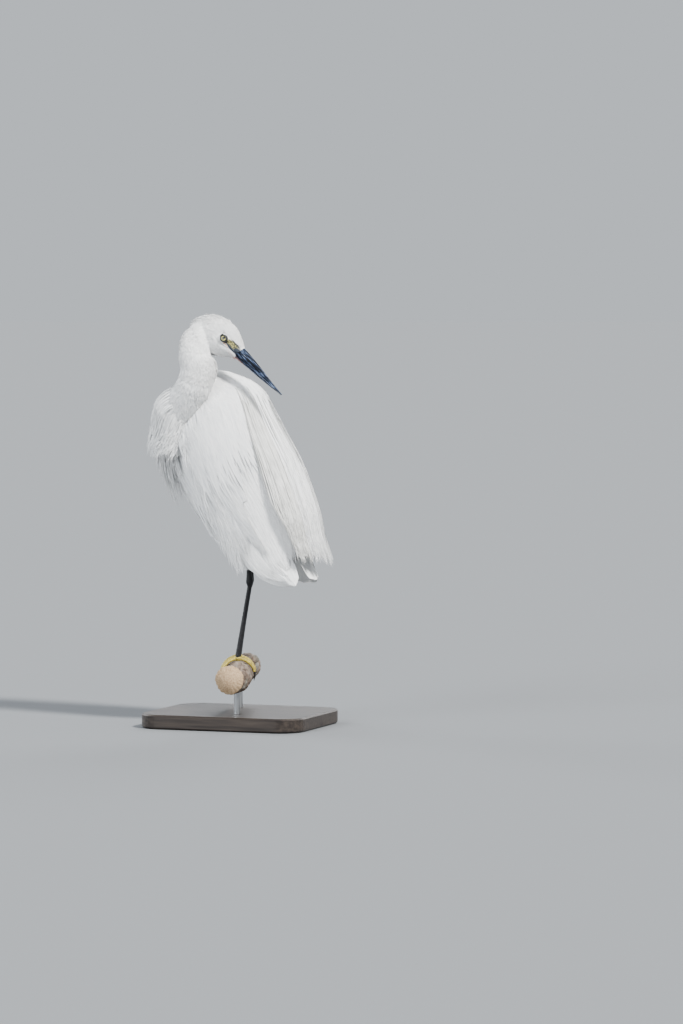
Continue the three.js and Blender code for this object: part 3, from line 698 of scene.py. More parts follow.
def flow(points):
    """The way the coat lies over the body, and which stretch of it each point belongs to.

    The stretches are head, upper neck, lower neck, trunk and thighs.
    """
    t = np.linspace(0, 1, 24)
    s = np.linspace(2, -68, 24)
    head_turn = smooth(-s, 30, 66)[:, None]
    head_level = np.interp(s, [-74, -38, 0], [-8, -4, 0])
    upper, lower = UPPER_NECK(t), LOWER_NECK(t)
    x, z, depth, _ = TRUNK_RINGS(np.linspace(0.02, 1, 24)).T
    rows = [
        (on_head(s, 0 * s, head_level), mix(-BILLWARD, -CROWNWARD, head_turn), np.full(24, 14.0), 0),
        (upper, -np.gradient(upper, axis=0), np.full(24, 17.0), 1),
        (lower, -np.gradient(lower, axis=0), np.full(24, 21.0), 2),
        (np.stack([x, 0 * t, z], -1), np.tile(TAILWARD, (24, 1)), depth * 0.75, 3),
    ]
    for leg in LEGS.values():
        path = track([leg["hip"], leg["knee"], leg["hem"]])(t)
        rows.append((path, np.gradient(path, axis=0), mix(15, 5, t), 4))
    total = np.zeros((len(points), 3))
    shares = np.zeros((len(points), 5))
    for middles, ways, sizes, stretch in rows:
        for middle, way, size in zip(middles, unit(ways), sizes):
            weight = np.exp(-2.2 * (np.linalg.norm(points - middle, axis=1) / size) ** 2) + 1e-12
            total += weight[:, None] * way
            shares[:, stretch] += weight
    shares = shares / shares.sum(1, keepdims=True)
    away = points - NECK_BASE
    near = smooth(np.linalg.norm(away, axis=1), 105, 45)[:, None] * smooth(shares[:, 3:4], 0.3, 0.8)
    return unit(mix(unit(total), unit(away), near)), shares


body = skin_body()
body_faces = [list(p.vertices) for p in body.polygons]
skin_points, skin_faces = joined([(read(body.vertices, "co", 3) / MM, body_faces), face_shell()])
skin = make_piece(
    "skin", skin_points, skin_faces, SKIN,
    ("head", "neck_upper", "neck_lower", "torso", "thigh_left", "thigh_right"), "plumage",
)
skin.data.uv_layers.new(name="OFBake")
bpy.ops.object.select_all(action="DESELECT")
bpy.context.view_layer.objects.active = skin
skin.select_set(True)
bpy.ops.object.mode_set(mode="EDIT")
bpy.ops.mesh.select_all(action="SELECT")
bpy.ops.uv.smart_project(angle_limit=math.radians(70), island_margin=0.002)
bpy.ops.object.mode_set(mode="OBJECT")


# The short coat
class Surface:
    """The skin's faces as arrays, from which tufts are sown."""

    def __init__(self, mesh):
        first = read(mesh.polygons, "loop_start", kind=int)
        self.uv = read(mesh.uv_layers["OFBake"].data, "uv", 2)[first]
        self.centre = read(mesh.polygons, "center", 3) / MM
        self.normal = read(mesh.polygons, "normal", 3)
        self.area = read(mesh.polygons, "area") / MM**2


surface = Surface(skin.data)
face_flow, face_share = flow(surface.centre)
face_s, face_w, face_n = head_place(surface.centre)
is_head_shell = np.arange(len(surface.area)) >= len(body_faces)


def bare_face(s, w, n):
    """1 on the bare skin of the lores and round the eye."""
    lore = np.exp(-(((s + 9.5) / 11.5) ** 6) - ((n - 0.2) / 5.9) ** 6)
    eye = np.exp(-((np.hypot(s - EYE_PLACE[0], n - EYE_PLACE[2]) / 6.2) ** 8))
    return np.clip(lore + eye, 0, 1) * (np.abs(w) > 3.5)


def inside_skull(s, w, n):
    t = np.interp(s, HEAD_RINGS(np.linspace(0, 1, 40))[:, 0], np.linspace(0, 1, 40))
    _, top, level, bottom, half = np.moveaxis(HEAD_RINGS(t), -1, 0)
    rise = np.where(n > level, top - level, level - bottom)
    return (np.hypot(w / half, (n - level) / rise) < 0.99) & (s > -66) & (s < 1)


def sow(name, keep, density, length, width, lift, material, steps=4, wander=0.09):
    """Tufts over the skin's faces. density, length, width and lift are one number, or one a face."""
    count = rng.poisson(np.where(keep, density * surface.area, 0))
    length, width, lift = (np.broadcast_to(value, count.shape) for value in (length, width, lift))
    pick = np.repeat(np.arange(len(count)), count)
    n = len(pick)
    size = np.sqrt(surface.area[pick])[:, None]
    normal, way = surface.normal[pick], face_flow[pick]
    way = unit(way - (way * normal).sum(1, keepdims=True) * normal)
    side = np.cross(normal, way)
    shift = (rng.random((n, 1)) - 0.5) * way + (rng.random((n, 1)) - 0.5) * side
    spot = surface.centre[pick] + size * shift
    way = unit(way + rng.normal(0, wander, (n, 1)) * side)
    long = (length[pick] * rng.uniform(0.75, 1.2, n))[:, None, None]
    t = np.linspace(0, 1, steps)[None, :, None]
    height = lift[pick][:, None, None] * rng.uniform(0.7, 1.3, (n, 1, 1))
    rise = height * (1 - (1 - t) ** 2) * (1 + 0.25 * t) - 0.4 * (1 - t)
    curl = rng.normal(0, 0.05, (n, 1, 1)) * t**2
    path = spot[:, None] + long * t * way[:, None] + rise * normal[:, None]
    path = path + long * curl * np.cross(normal, way)[:, None]
    shape = taper(steps, [0, 0.3, 0.7, 1], [0.7, 1, 0.8, 0.12])
    wide = (width[pick] * rng.uniform(0.75, 1.25, n))[:, None] * shape
    out = np.repeat(normal[:, None], steps, 1)
    strips(name, path, out, wide, surface.uv[pick], material, rng.normal(0, 0.16, n))


def coat():
    """The tufts of head, neck, breast, trunk and thighs, each as a piece."""
    hidden = (face_s > -32) & inside_skull(face_s, face_w, face_n) & ~is_head_shell
    near_bill = smooth(face_s, -34, -2)
    feathered = bare_face(face_s, face_w, face_n) < 0.5
    is_head = is_head_shell & feathered & (face_s < -0.6) & (face_s > -44)
    sizes = (mix(a, b, near_bill) for a, b in ((3.0, 7.0), (6.5, 1.5), (0.9, 0.4), (0.95, 0.35)))
    sow("coat_head", is_head, *sizes, FINE, wander=0.07)
    is_neck = (face_share[:, 1] + face_share[:, 0] > 0.5) & ~hidden & ~is_head_shell
    sow("coat_neck", is_neck, 2.15, 9, 0.95, 1.2, FINE, wander=0.07)
    is_breast = (face_share[:, 2] > 0.5) & ~is_head_shell
    sow("coat_breast", is_breast, 1.3, 15, 1.2, 1.4, PLUME, 5, wander=0.06)
    rest = ~(is_neck | is_breast | hidden | is_head_shell)
    is_thigh = face_share[:, 4] > 0.4
    near_neck = smooth(np.linalg.norm(surface.centre - NECK_BASE, axis=1), 95, 50)
    hem = WING_LOWER_EDGE(np.linspace(0, 1, 60))
    hem = hem[np.argsort(hem[:, 2])]
    past_hem = surface.centre[:, 0] - np.interp(surface.centre[:, 2], hem[:, 2], hem[:, 0])
    under_wing = smooth(past_hem, 6, 16) * (1 - near_neck)
    density = mix(0.4, 0.75, near_neck) * (1 - 0.85 * under_wing)
    sizes = (mix(a, b, near_neck) for a, b in ((17, 9), (2.2, 1.5), (2.3, 0.7)))
    sow("coat_trunk", rest & ~is_thigh, density, *sizes, PLUME)
    sow("coat_thighs", rest & is_thigh, 1.2, 8, 1.2, 1.2, FINE)


coat()


# Long plumes
def draped(share, start, reach, lift, turns, steps, sink, wander):
    """Paths of back plumes over the wider form, from the trunk between the wings to beyond its end.

    turns are how far round the outermost plumes lie at their roots and tips, in degrees.
    """
    t = np.linspace(0, 1, steps)[None]
    along = mix(start[:, None], reach[:, None], t)
    angle = share[:, None] * mix(*np.radians(turns), np.minimum(1.4 * t, 1))
    angle = angle + wander[:, None] * np.sin(3 * t + 9 * share[:, None])
    outer, out = on_trunk(along, angle, lift[:, None] * np.minimum(3 * t, 1), MANTLE_RINGS)
    inner = on_trunk(along, angle, -sink)[0]
    return mix(inner, outer, np.minimum(0.1 + t / 0.22, 1)[..., None]), out


def tucked(path):
    """Paths of the trunk's plumes, sunk under the neck where they would lie over it."""
    t = np.linspace(0, 1, 30)
    middles = np.concatenate([LOWER_NECK(t), UPPER_NECK(0.5 * t)])
    radii = np.concatenate([LOWER_RADII(t), UPPER_RADII(0.5 * t)])[:, 0]
    points = path.reshape(-1, 3)
    away = points[:, None] - middles[None]
    gap = np.linalg.norm(away, axis=-1) - radii[None]
    nearest = gap.argmin(1)
    rows = np.arange(len(points))
    gap, way = gap[rows, nearest], unit(away[rows, nearest])
    push = np.where(gap > -4, (gap + 4) * smooth(gap, 9, 2), 0)
    return (points - push[:, None] * way).reshape(path.shape)


def wing_tree():
    """The outer faces of both wings, to be asked for the nearest place."""
    a, b = np.meshgrid(np.linspace(0, 0.92, 70), np.linspace(0.02, 0.98, 34), indexing="ij")
    rows = [on_wing(side, a, b) for side in (-1, 1)]
    base = np.concatenate([row[0].reshape(-1, 3) for row in rows])
    out = np.concatenate([row[1].reshape(-1, 3) for row in rows])
    tree = KDTree(len(base))
    for k, point in enumerate(base.tolist()):
        tree.insert(point, k)
    tree.balance()
    return tree, base, out


WING_TREE = wing_tree()


# How high plumes may lie over a folded wing.
OVER_WING = 4.7


def settled(path):
    """Paths that would float over a folded wing, brought down to lie on it."""
    tree, base, out = WING_TREE
    points = path.reshape(-1, 3)
    nearest = np.array([tree.find(point)[1] for point in points.tolist()])
    shift = points - base[nearest]
    high = (shift * out[nearest]).sum(1)
    miss = np.linalg.norm(shift - high[:, None] * out[nearest], axis=1)
    drop = np.where(high > OVER_WING, 0.85 * (high - OVER_WING), 0) * smooth(miss, 7, 2)
    return (points - drop[:, None] * out[nearest]).reshape(path.shape)


def barbs(path, out, width, roots, first, count, length, spread):
    """Fine side branches near the ends of plumes."""
    n, k = path.shape[:2]
    where = first + (1 - first) * rng.random((n, count))
    place = where * (k - 1)
    i = np.minimum(place.astype(int), k - 2)
    f = (place - i)[..., None]
    rows = np.arange(n)[:, None]
    root = mix(path[rows, i], path[rows, i + 1], f)
    way = unit(path[rows, i + 1] - path[rows, i])
    face = out[rows, i]
    hand = rng.choice([-1.0, 1.0], (n, count, 1))
    side = unit(np.cross(way, face)) * hand
    t = np.linspace(0, 1, 5)[None, None, :, None]
    long = (length * rng.uniform(0.5, 1.1, (n, count)) * (1.15 - 0.5 * where))[..., None, None]
    bend = spread * rng.uniform(0.5, 1.3, (n, count, 1, 1))
    droop = np.array([0, 0, -1.0]) * 0.12 * long * t**2
    lead = t * way[:, :, None] + bend * (t - 0.45 * t**2) * side[:, :, None]
    points = root[:, :, None] + long * lead + droop
    points = points + face[:, :, None] * rng.normal(0, 0.6, (n, count, 1, 1)) * t
    m = n * count
    wide = width * taper(5, [0, 0.4, 1], [1, 0.8, 0.2]) * rng.uniform(0.8, 1.2, (m, 1))
    out = np.repeat(face.reshape(m, 1, 3), 5, 1)
    return points.reshape(m, 5, 3), out, wide, np.repeat(roots, count, 0)


def trunk_roots(start, share):
    """Where plumes start on the map of the skin: round the trunk and down it."""
    return np.stack([0.5 + 0.3 * share, 0.95 - 0.9 * np.clip(start, 0, 1)], -1)

def back_plumes():
    """Long plumes from between the wings to past the tail, with fine barbs near their ends."""
    n = 2300
    share = rng.uniform(-1, 1, n)
    start = rng.uniform(0.05, 0.34, n)
    reach = 1.52 - 0.3 * np.abs(share) - 0.34 * rng.random(n)
    reach = reach + 0.045 * np.sin(29 * share + 1) + 0.03 * np.sin(67 * share)
    lift = rng.uniform(-1, 4.2, n)
    path, out = draped(share, start, reach, lift, (34, 58), 18, 4.0, rng.normal(0, 0.012, n))
    wide = rng.uniform(0.9, 2.3, n)[:, None] * taper(18, [0, 0.2, 0.6, 0.8, 1], [0.7, 1, 0.7, 0.3, 0.1])
    roots = trunk_roots(start, share)
    roll = rng.normal(0, 0.16, n)
    # The outer plumes take the copy with painted shade, the inner ones the white plume.
    inner = np.abs(share) < 0.62
    for part, picked, look in (("", inner, PLUME), ("_side", ~inner, PAINTED_SHADE_PLUME)):
        chosen = (values[picked] for values in (path, out, wide, roots))
        strips("back_plumes" + part, *chosen, look, roll[picked])
        top = np.flatnonzero(picked)
        order = np.argsort(-lift[top] - rng.random(len(top)) * 4)
        top = top[order[: int(0.42 * len(top))]]
        fringe = barbs(path[top], out[top], 0.3, roots[top], 0.5, 20, 15, 0.24)
        strips("back_plume_barbs" + part, *fringe, look)


def mantle_feathers():
    """Short feathers of the upper back and shoulders, which lie close."""
    n = 2000
    share = rng.uniform(-2.3, 2.3, n)
    aside = smooth(np.abs(share), 1.0, 1.6)
    start = rng.uniform(0.0, 0.26, n) + 0.05 + 0.05 * aside
    reach = start + rng.uniform(0.14, 0.3, n)
    lift = rng.uniform(0.5, 2.0, n) + 3.0 * aside
    path, out = draped(share, start, reach, lift, (46, 50), 10, 2.0, rng.normal(0, 0.03, n))
    path = tucked(settled(path))
    wide = rng.uniform(2.0, 3.6, n)[:, None] * taper(10, [0, 0.4, 0.8, 1], [0.6, 1, 0.6, 0.08])
    roots = trunk_roots(start, share)
    strips("mantle_feathers", path, out, wide, roots, PLUME, rng.normal(0, 0.07, n), ridge=0.1)


def neck_plumes():
    """Pointed plumes round the fold of the neck, whose tips hang free below it."""
    form = track(
        from_view([
            [-88, 10, 322], [-87, 8, 350], [-84, 3, 378],
            [-80, -5, 405], [-68, -14, 423], [-57, -22, 441],
        ])
    )
    radii = track([[27], [28.5], [28], [26.2], [20.8], [18.5]])
    n = 1500
    start = rng.uniform(0.3, 0.86, n)
    reach = np.maximum(start - rng.uniform(0.24, 0.5, n), rng.uniform(0.16, 0.42, n))
    angle = rng.uniform(-2.5, 2.5, n)
    t = np.linspace(0, 1, 12)[None]
    along = mix(start[:, None], reach[:, None], t)
    middle = form(along)
    way = unit(form(np.maximum(along - 0.02, 0)) - form(np.minimum(along + 0.02, 1)))
    across = unit(np.cross(way, from_view([-1, 0, 0])))
    front = np.cross(across, way)
    front = front * np.sign((front * from_view([-1, 0, 0])).sum(-1, keepdims=True))
    turn = angle[:, None] * (1 - 0.25 * t)
    out = np.cos(turn)[..., None] * front + np.sin(turn)[..., None] * across
    lift = rng.uniform(-0.6, 1.6, n)[:, None] + rng.uniform(0, 4, n)[:, None] * t**2
    lift = lift - 5.5 * (1 - np.minimum(2.6 * t, 1)) ** 1.5
    path = middle + (radii(along)[..., 0] + lift)[..., None] * out
    wide = rng.uniform(1.0, 2.3, n)[:, None] * taper(12, [0, 0.25, 0.7, 1], [0.6, 1, 0.6, 0.06])
    roots = np.stack([0.5 + 0.15 * angle, start], -1)
    strips("neck_plumes", path, out, wide, roots, PLUME, rng.normal(0, 0.22, n))
    fringe = barbs(path[:420], out[:420], 0.28, roots[:420], 0.5, 10, 8, 0.28)
    strips("neck_plume_barbs", *fringe, PLUME)


def side_plumes():
    """Soft plumes from the breast's sides, over the fronts of the wings, to wisps under the belly."""
    for side, word in ((1, "left"), (-1, "right")):
        n = 2400
        angle = np.radians(rng.uniform(78, 172, n))
        deg = np.degrees(angle)
        front = smooth(deg, 92, 160)
        start = rng.uniform(0.12, 0.6, n)
        most = mix(0.72, 0.93, smooth(deg, 165, 110))
        reach = np.minimum(start + rng.uniform(0.25, 0.5, n), most + rng.uniform(-0.05, 0.06, n))
        reach = np.minimum(reach, mix(0.62, 1.1, smooth(deg, 82, 108)))
        t = np.linspace(0, 1, 13)[None]
        along = mix(start[:, None], reach[:, None], t)
        bend = angle[:, None] - np.radians(10) * front[:, None] * t
        lift = rng.uniform(0.6, 2.6, n)[:, None] * np.minimum(4 * t, 1) - 1.5 * (1 - np.minimum(6 * t, 1))
        lift = lift - 1.6 * front[:, None]
        inner, out = on_trunk(along, side * bend, lift + 1.2)
        outer = on_trunk(along, side * bend, lift * 0.4 - 2.4, MANTLE_RINGS)[0]
        wide_form = smooth(np.degrees(bend), 135, 98) * smooth(along, 0.1, 0.3)
        path = mix(inner, outer, wide_form[..., None])
        droop = np.maximum(t - 0.7, 0) ** 2 * mix(20, 70, smooth(along, 0.6, 0.95))
        path = tucked(settled(path - droop[..., None] * np.array([0.1, 0, 1])))
        wide = rng.uniform(1.4, 3.0, n)[:, None] * taper(13, [0, 0.2, 0.7, 1], [0.6, 1, 0.7, 0.1])
        roots = trunk_roots(start, side * angle / math.pi * 1.6)
        strips("side_plumes_" + word, path, out, wide, roots, PLUME, rng.normal(0, 0.1, n))
        low = np.flatnonzero(reach > 0.7)[:260]
        fringe = barbs(path[low], out[low], 0.34, roots[low], 0.6, 12, 10, 0.3)
        strips("side_plume_barbs_" + word, *fringe, PLUME)


def flank_wisps():
    """The hanging ends under the belly that hide the thighs."""
    for side, word in ((-1, "left"), (1, "right")):
        n = 420
        share = rng.random(n)
        start = mix(0.46, 0.78, share)
        root_angle = np.radians(mix(150, 112, share) + rng.normal(0, 6, n))
        root = on_trunk(start + rng.normal(0, 0.03, n), -side * root_angle, -5.5)[0]
        x = mix(-24, 24, share) + rng.normal(0, 3, n)
        y = side * rng.uniform(24, 42, n)
        z = mix(246, 203, share) + rng.uniform(-3, 14, n)
        tip = np.stack([x, y, z], -1)
        bulge = np.stack([np.full(n, -4.0), side * rng.uniform(1, 4, n), np.full(n, 2.0)], -1)
        middle = mix(root, tip, 0.5) + bulge
        t = np.linspace(0, 1, 10)[None, :, None]
        path = (1 - t) ** 2 * root[:, None] + 2 * t * (1 - t) * middle[:, None] + t**2 * tip[:, None]
        out = np.tile(unit(np.array([-0.35, side, 0.0])), (n, 10, 1))
        wide = rng.uniform(1.0, 2.2, n)[:, None] * taper(10, [0, 0.3, 0.7, 1], [0.6, 1, 0.7, 0.1])
        roots = trunk_roots(start, np.full(n, -0.7 * side))
        strips("flank_wisps_" + word, path, out, wide, roots, PLUME, rng.normal(0, 0.35, n))
        fringe = barbs(path[:200], out[:200], 0.32, roots[:200], 0.45, 12, 9, 0.35)
        strips("flank_barbs_" + word, *fringe, PLUME)


def flank_plumes():
    """Soft plumes over the lower edge of each folded wing, whose ends hang off it."""
    for side, word in ((-1, "left"), (1, "right")):
        n = 1500
        start = rng.uniform(0.0, 0.46, n)
        reach = np.minimum(start + rng.uniform(0.2, 0.42, n), rng.uniform(0.55, 0.68, n))
        low = rng.uniform(0.66, 1.04, n)
        t = np.linspace(0, 1, 13)[None]
        along = mix(start[:, None], reach[:, None], t)
        across = low[:, None] + rng.uniform(-0.02, 0.14, n)[:, None] * t
        lift = (3.6 + rng.uniform(-0.6, 1.4, n)[:, None]) * np.minimum(0.35 + 4 * t, 1)
        path, out = on_wing(side, along, np.minimum(across, 1.12), lift)
        hang = np.maximum(t - 0.55, 0) ** 2 * smooth(across, 0.86, 1.05) * rng.uniform(8, 62, n)[:, None]
        path = path - hang[..., None] * np.array([0.25, 0, 1])
        wide = taper(13, [0, 0.25, 0.6, 0.85, 1], [0.6, 1, 0.7, 0.35, 0.06])
        wide = wide * rng.uniform(0.8, 2.0, (n, 1))
        roots = wing_roots(side, start, low)
        strips("flank_plumes_" + word, path, out, wide, roots, PLUME, rng.normal(0, 0.18, n))
        picked = np.flatnonzero(low > 0.8)[:420]
        fringe = barbs(path[picked], out[picked], 0.28, roots[picked], 0.4, 12, 11, 0.22)
        strips("flank_plume_barbs_" + word, *fringe, PLUME)


def breast_plumes():
    """Long plumes of the breast, which hang free at their ends."""
    n = 900
    share = rng.random(n) ** 1.1
    root_angle, angle = np.radians(mix(176, 120, share)), np.radians(mix(204, 120, share))
    row = rng.random(n)
    reach = mix(0.5, 0.32, row) - 0.1 * np.abs(share - 0.35) + rng.uniform(-0.03, 0.03, n)
    start = rng.uniform(0.13, 0.2, n)
    t = np.linspace(0, 1, 14)[None]
    along = mix(start[:, None], reach[:, None], t)
    spread = np.minimum(2.5 * t, 1)
    free = (14 * t**2 + 2) * (1 - np.abs(share - 0.35))[:, None]
    lift = mix(-1.0, 2.6 + 4.4 * row[:, None] + free, spread)
    turn = mix(root_angle[:, None], mix(angle[:, None], math.radians(168), 0.28 * t), spread)
    path, out = on_trunk(along, turn, lift)
    wide = rng.uniform(1.1, 2.4, n)[:, None] * taper(14, [0, 0.25, 0.6, 0.85, 1], [0.6, 1, 0.7, 0.4, 0.06])
    roots = trunk_roots(start, 0.9 * angle / math.pi)
    strips("breast_plumes", path, out, wide, roots, PLUME, rng.normal(0, 0.3, n))
    fringe = barbs(path[:360], out[:360], 0.3, roots[:360], 0.5, 12, 10, 0.22)
    strips("breast_plume_barbs", *fringe, PLUME)


back_plumes()
mantle_feathers()
neck_plumes()
side_plumes()
flank_wisps()
flank_plumes()
breast_plumes()


# Wings and tail
# Places over a broad feather's width, from edge to edge.
VANE_ACROSS = np.array([-1, -0.72, -0.4, -0.12, 0, 0.12, 0.4, 0.72, 1.0])
# How far a broad feather's edges curve down, and how far its shaft stands up.
CAMBER, SHAFT = 0.6, 0.3


def vanes(path, out, width, roots):
    """Broad feathers: a raised shaft, a vane that curves down to its edges and a rounded end."""
    n, k, m = *path.shape[:2], len(VANE_ACROSS)
    along = unit(np.gradient(path, axis=1))
    side = unit(np.cross(along, out))
    face = np.cross(side, along)
    x = VANE_ACROSS[None, None]
    half = (width / 2)[..., None]
    rise = -CAMBER * x**2 + SHAFT * np.exp(-((x / 0.09) ** 2))
    split = rng.normal(0, 0.07, (n, k, m)) * (np.abs(x) > 0.6)
    points = path[:, :, None] + (half * (x + split * 0.6))[..., None] * side[:, :, None]
    points = points + rise[..., None] * face[:, :, None]
    return points.reshape(-1, 3), band_faces(n, k, m), patches(roots, k, x)


# The tiers of a wing's feathers, from the tip's to the shoulder's. The pairs are the places of the first and
# last feather: the roots' and the tips' along the wing, then the roots' and the tips' across it.
WING_TIERS = (
    (8, (0.46, 0.54), (0.97, 1.0), (0.98, 0.45), (0.82, 0.25), 15, 0.2),
    (21, (0.42, 0.5), (0.94, 0.82), (0.93, 0.04), (0.74, 0.02), 14, 1.4),
    (15, (0.26, 0.33), (0.64, 0.62), (0.97, 0.03), (0.93, 0.03), 12, 2.1),
    (16, (0.17, 0.22), (0.47, 0.5), (0.97, 0.03), (0.96, 0.03), 10, 2.6),
    (17, (0.1, 0.13), (0.35, 0.37), (0.96, 0.04), (0.97, 0.04), 9, 3.0),
    (17, (0.04, 0.06), (0.23, 0.26), (0.95, 0.05), (0.96, 0.05), 9, 3.3),
    (14, (0.0, 0.0), (0.14, 0.16), (0.9, 0.1), (0.94, 0.06), 9, 3.5),
)


def wing_core(side):
    """The closed form that the feathers of a folded wing lie on."""
    a = np.linspace(0.005, 0.7, 30)[:, None]
    b = np.linspace(0.03, 0.97, 24)
    outer = on_wing(side, a, b[None], -0.3)[0]
    inset = 1.2 + 5 * np.sin(math.pi * b[::-1])[None] * (1 - a)
    inner = on_wing(side, a, b[None, ::-1], -inset - 0.3)[0]
    return loft(np.concatenate([outer, inner], 1))


def wing_feathers(side, word):
    """The broad feathers of a folded wing, tier by tier over its core."""
    parts = [wing_core(side)]
    uv = [np.tile([0.02 + 0.44 * (side > 0), 0.02], (len(parts[0][0]), 1))]
    t = np.linspace(0, 1, 15)[None]
    roll = side * math.radians(4)
    for n, root, tip, across, end, width, lift in WING_TIERS:
        share = np.linspace(0, 1, n)[:, None]
        a = mix(mix(*root, share), mix(*tip, share) + rng.normal(0, 0.014, (n, 1)), t)
        b = mix(mix(*across, share), mix(*end, share), t * t)
        path, out = on_wing(side, a, b, lift + mix(-0.9, 0.5, t) + rng.normal(0, 0.06, (n, 1)))
        along = unit(np.gradient(path, axis=1))
        out = out * math.cos(roll) + np.cross(along, out) * math.sin(roll)
        wide = width * taper(15, [0, 0.15, 0.8, 0.92, 0.97, 1], [0.6, 0.9, 1, 0.8, 0.55, 0.16])
        wide = wide * rng.uniform(0.95, 1.08, (n, 1))
        *tier, spread = vanes(path, out, wide, wing_roots(side, a[:, 0], b[:, 0]))
        parts.append(tier)
        uv.append(spread)
    uv = np.concatenate(uv)
    make_piece("wing_feathers_" + word, *joined(parts), VANE, ("wing_" + word,), "plumage", uv)


def wing_coat(side, word):
    """Small soft feathers from a wing's shoulder over the roots of its tiers."""
    n = 6400
    a, b = 0.72 * rng.random(n) ** 1.25, rng.uniform(0.02, 0.98, n)
    t = np.linspace(0, 1, 6)[None]
    over = np.interp(a, [0, 0.3, 0.5, 0.72], [4.3, 3.4, 2.6, 1.9])[:, None]
    lift = over + rng.uniform(0.0, 0.9, (n, 1)) * np.sin(math.pi * np.minimum(0.25 + t, 1) / 1.25)
    long = np.interp(a, [0, 0.3, 0.72], [0.05, 0.1, 0.15])[:, None] * rng.uniform(0.7, 1.3, (n, 1))
    path, out = on_wing(side, a[:, None] + long * t, b[:, None] + rng.normal(0, 0.01, (n, 1)) * t, lift)
    wide = rng.uniform(1.2, 2.6, n)[:, None] * taper(6, [0, 0.4, 0.8, 1], [0.6, 1, 0.6, 0.1])
    roots = wing_roots(side, a, b)
    strips("wing_coat_" + word, path, out, wide, roots, FINE, rng.normal(0, 0.1, n), ridge=0.12)


def tail():
    n = 12
    fan = np.linspace(-1, 1, n)[:, None]
    t = mix(0.08, 1 - 0.05 * np.abs(fan), np.linspace(0, 1, 15)[None])
    lift = 1.6 - 1.1 * np.abs(fan) + 0 * t
    path = np.stack([mix(66, 103, t) + lift * 0.85, fan * mix(9, 14, t), mix(251, 188, t) + lift * 0.5], -1)
    out = np.tile(BACKWARD, (n, 15, 1))
    wide = 14 * taper(15, [0, 0.2, 0.85, 0.95, 1], [0.6, 1, 1, 0.7, 0.25]) * np.ones((n, 1))
    roots = np.stack([0.5 + 0.05 * fan[:, 0], np.full(n, 0.03)], -1)
    points, faces, uv = vanes(path, out, wide, roots)
    make_piece("tail_feathers", points, faces, VANE, ("tail",), "plumage", uv)


for side, word in ((-1, "left"), (1, "right")):
    wing_feathers(side, word)
    wing_coat(side, word)
tail()


# Bill and eyes
# From the root of the bill to its tip: heights of the mouth's line and the two edges, and half the width.
MOUTH_LINE = track([[-3.2], [-3], [-2.6], [-1.6], [-0.6]])
CULMEN = track([[8.8], [7.2], [5], [2.4], [0.6]])
GONYS = track([[-8.6], [-6.6], [-5.2], [-3.4], [-1.2]])
BILL_HALF_WIDTH = track([[6.2], [4.6], [3.3], [2.2], [0.5]])
BILL_START = 0.3


def mandible(edge, sign):
    """One half of the bill between the line of the mouth and its outer edge. sign is 1 for the upper one."""
    run = np.linspace(0, 1, 110)
    t = run[:, None]
    angle = np.linspace(0, math.pi, 41)[None]
    line = MOUTH_LINE(run) + sign * 0.12
    outer, half = edge(run), BILL_HALF_WIDTH(run)
    s = BILL_START - 1.5 * (t == 0) + (BILL_LENGTH - BILL_START) * t + 0 * angle
    w = half * np.cos(angle) * (1 - 0.25 * np.sin(angle))
    n = line + (outer - line) * np.sin(angle) ** 0.9
    if sign > 0:
        nostril = np.exp(-(((s - 12.5) / 4.6) ** 4) - ((n - 2.7) / 0.75) ** 2)
        trough = np.exp(-(((n - 3.4 * (1 - t)) / 1.5) ** 2)) * smooth(s, -1, 4) * smooth(s, 46, 20)
        w = w * (1 - 0.22 * nostril - 0.07 * trough)
    bow = np.exp(-(((n - line) / (0.25 * np.abs(outer - line) + 0.2)) ** 2)) * 0.03
    return loft(on_head(s, w * (1 + bow), n))


make_piece("bill_upper_horn", *mandible(CULMEN, 1), HORN, ("bill_upper",), "bill")
make_piece("bill_lower_horn", *mandible(GONYS, -1), HORN, ("bill_lower",), "bill")


def ball(centre, radius, rows, columns, axis):
    across = unit(np.cross(axis, CROWNWARD))
    over = np.cross(across, axis)
    up = np.linspace(0.02, math.pi - 0.02, rows)[:, None, None]
    turn = circle(columns)[None, :, None]
    point = np.cos(up) * axis + np.sin(up) * np.cos(turn) * across + np.sin(up) * np.sin(turn) * over
    return loft(centre + radius * point)


def lid(side):
    """The rim of skin round the eye, which bulges a little over the ball."""
    turn = circle(72)
    reach = 3.9 + 1.0 * np.abs(np.cos(turn + 0.25)) ** 5 - 0.75 * np.maximum(np.sin(turn), 0) ** 2
    high = np.sqrt(np.maximum((EYE_RADIUS + 0.45) ** 2 - reach**2, 0))
    s, w, n = EYE_PLACE
    path = on_head(s + reach * np.cos(turn), side * (w + high), n + reach * np.sin(turn))
    away = unit(path - eye_centre(side))
    across = np.cross(unit(np.roll(path, -1, 0) - np.roll(path, 1, 0)), away)
    angle = circle(12)[None, :, None]
    rings = path[:, None] + 0.62 * np.cos(angle) * away[:, None] + 1.1 * np.sin(angle) * across[:, None]
    # One more row of faces than rings, whose last row runs back to the first ring.
    return rings.reshape(-1, 3), grid_faces(73, 12) % (72 * 12)


for side, word in ((-1, "left"), (1, "right")):
    eyeball = ball(eye_centre(side), EYE_RADIUS, 48, 64, RIGHTWARD)
    make_piece("eyeball_" + word, *eyeball, eye_look(side), ("eye_" + word,), "eye")
    make_piece("eyelid_" + word, *lid(side), LID, (), "plumage")


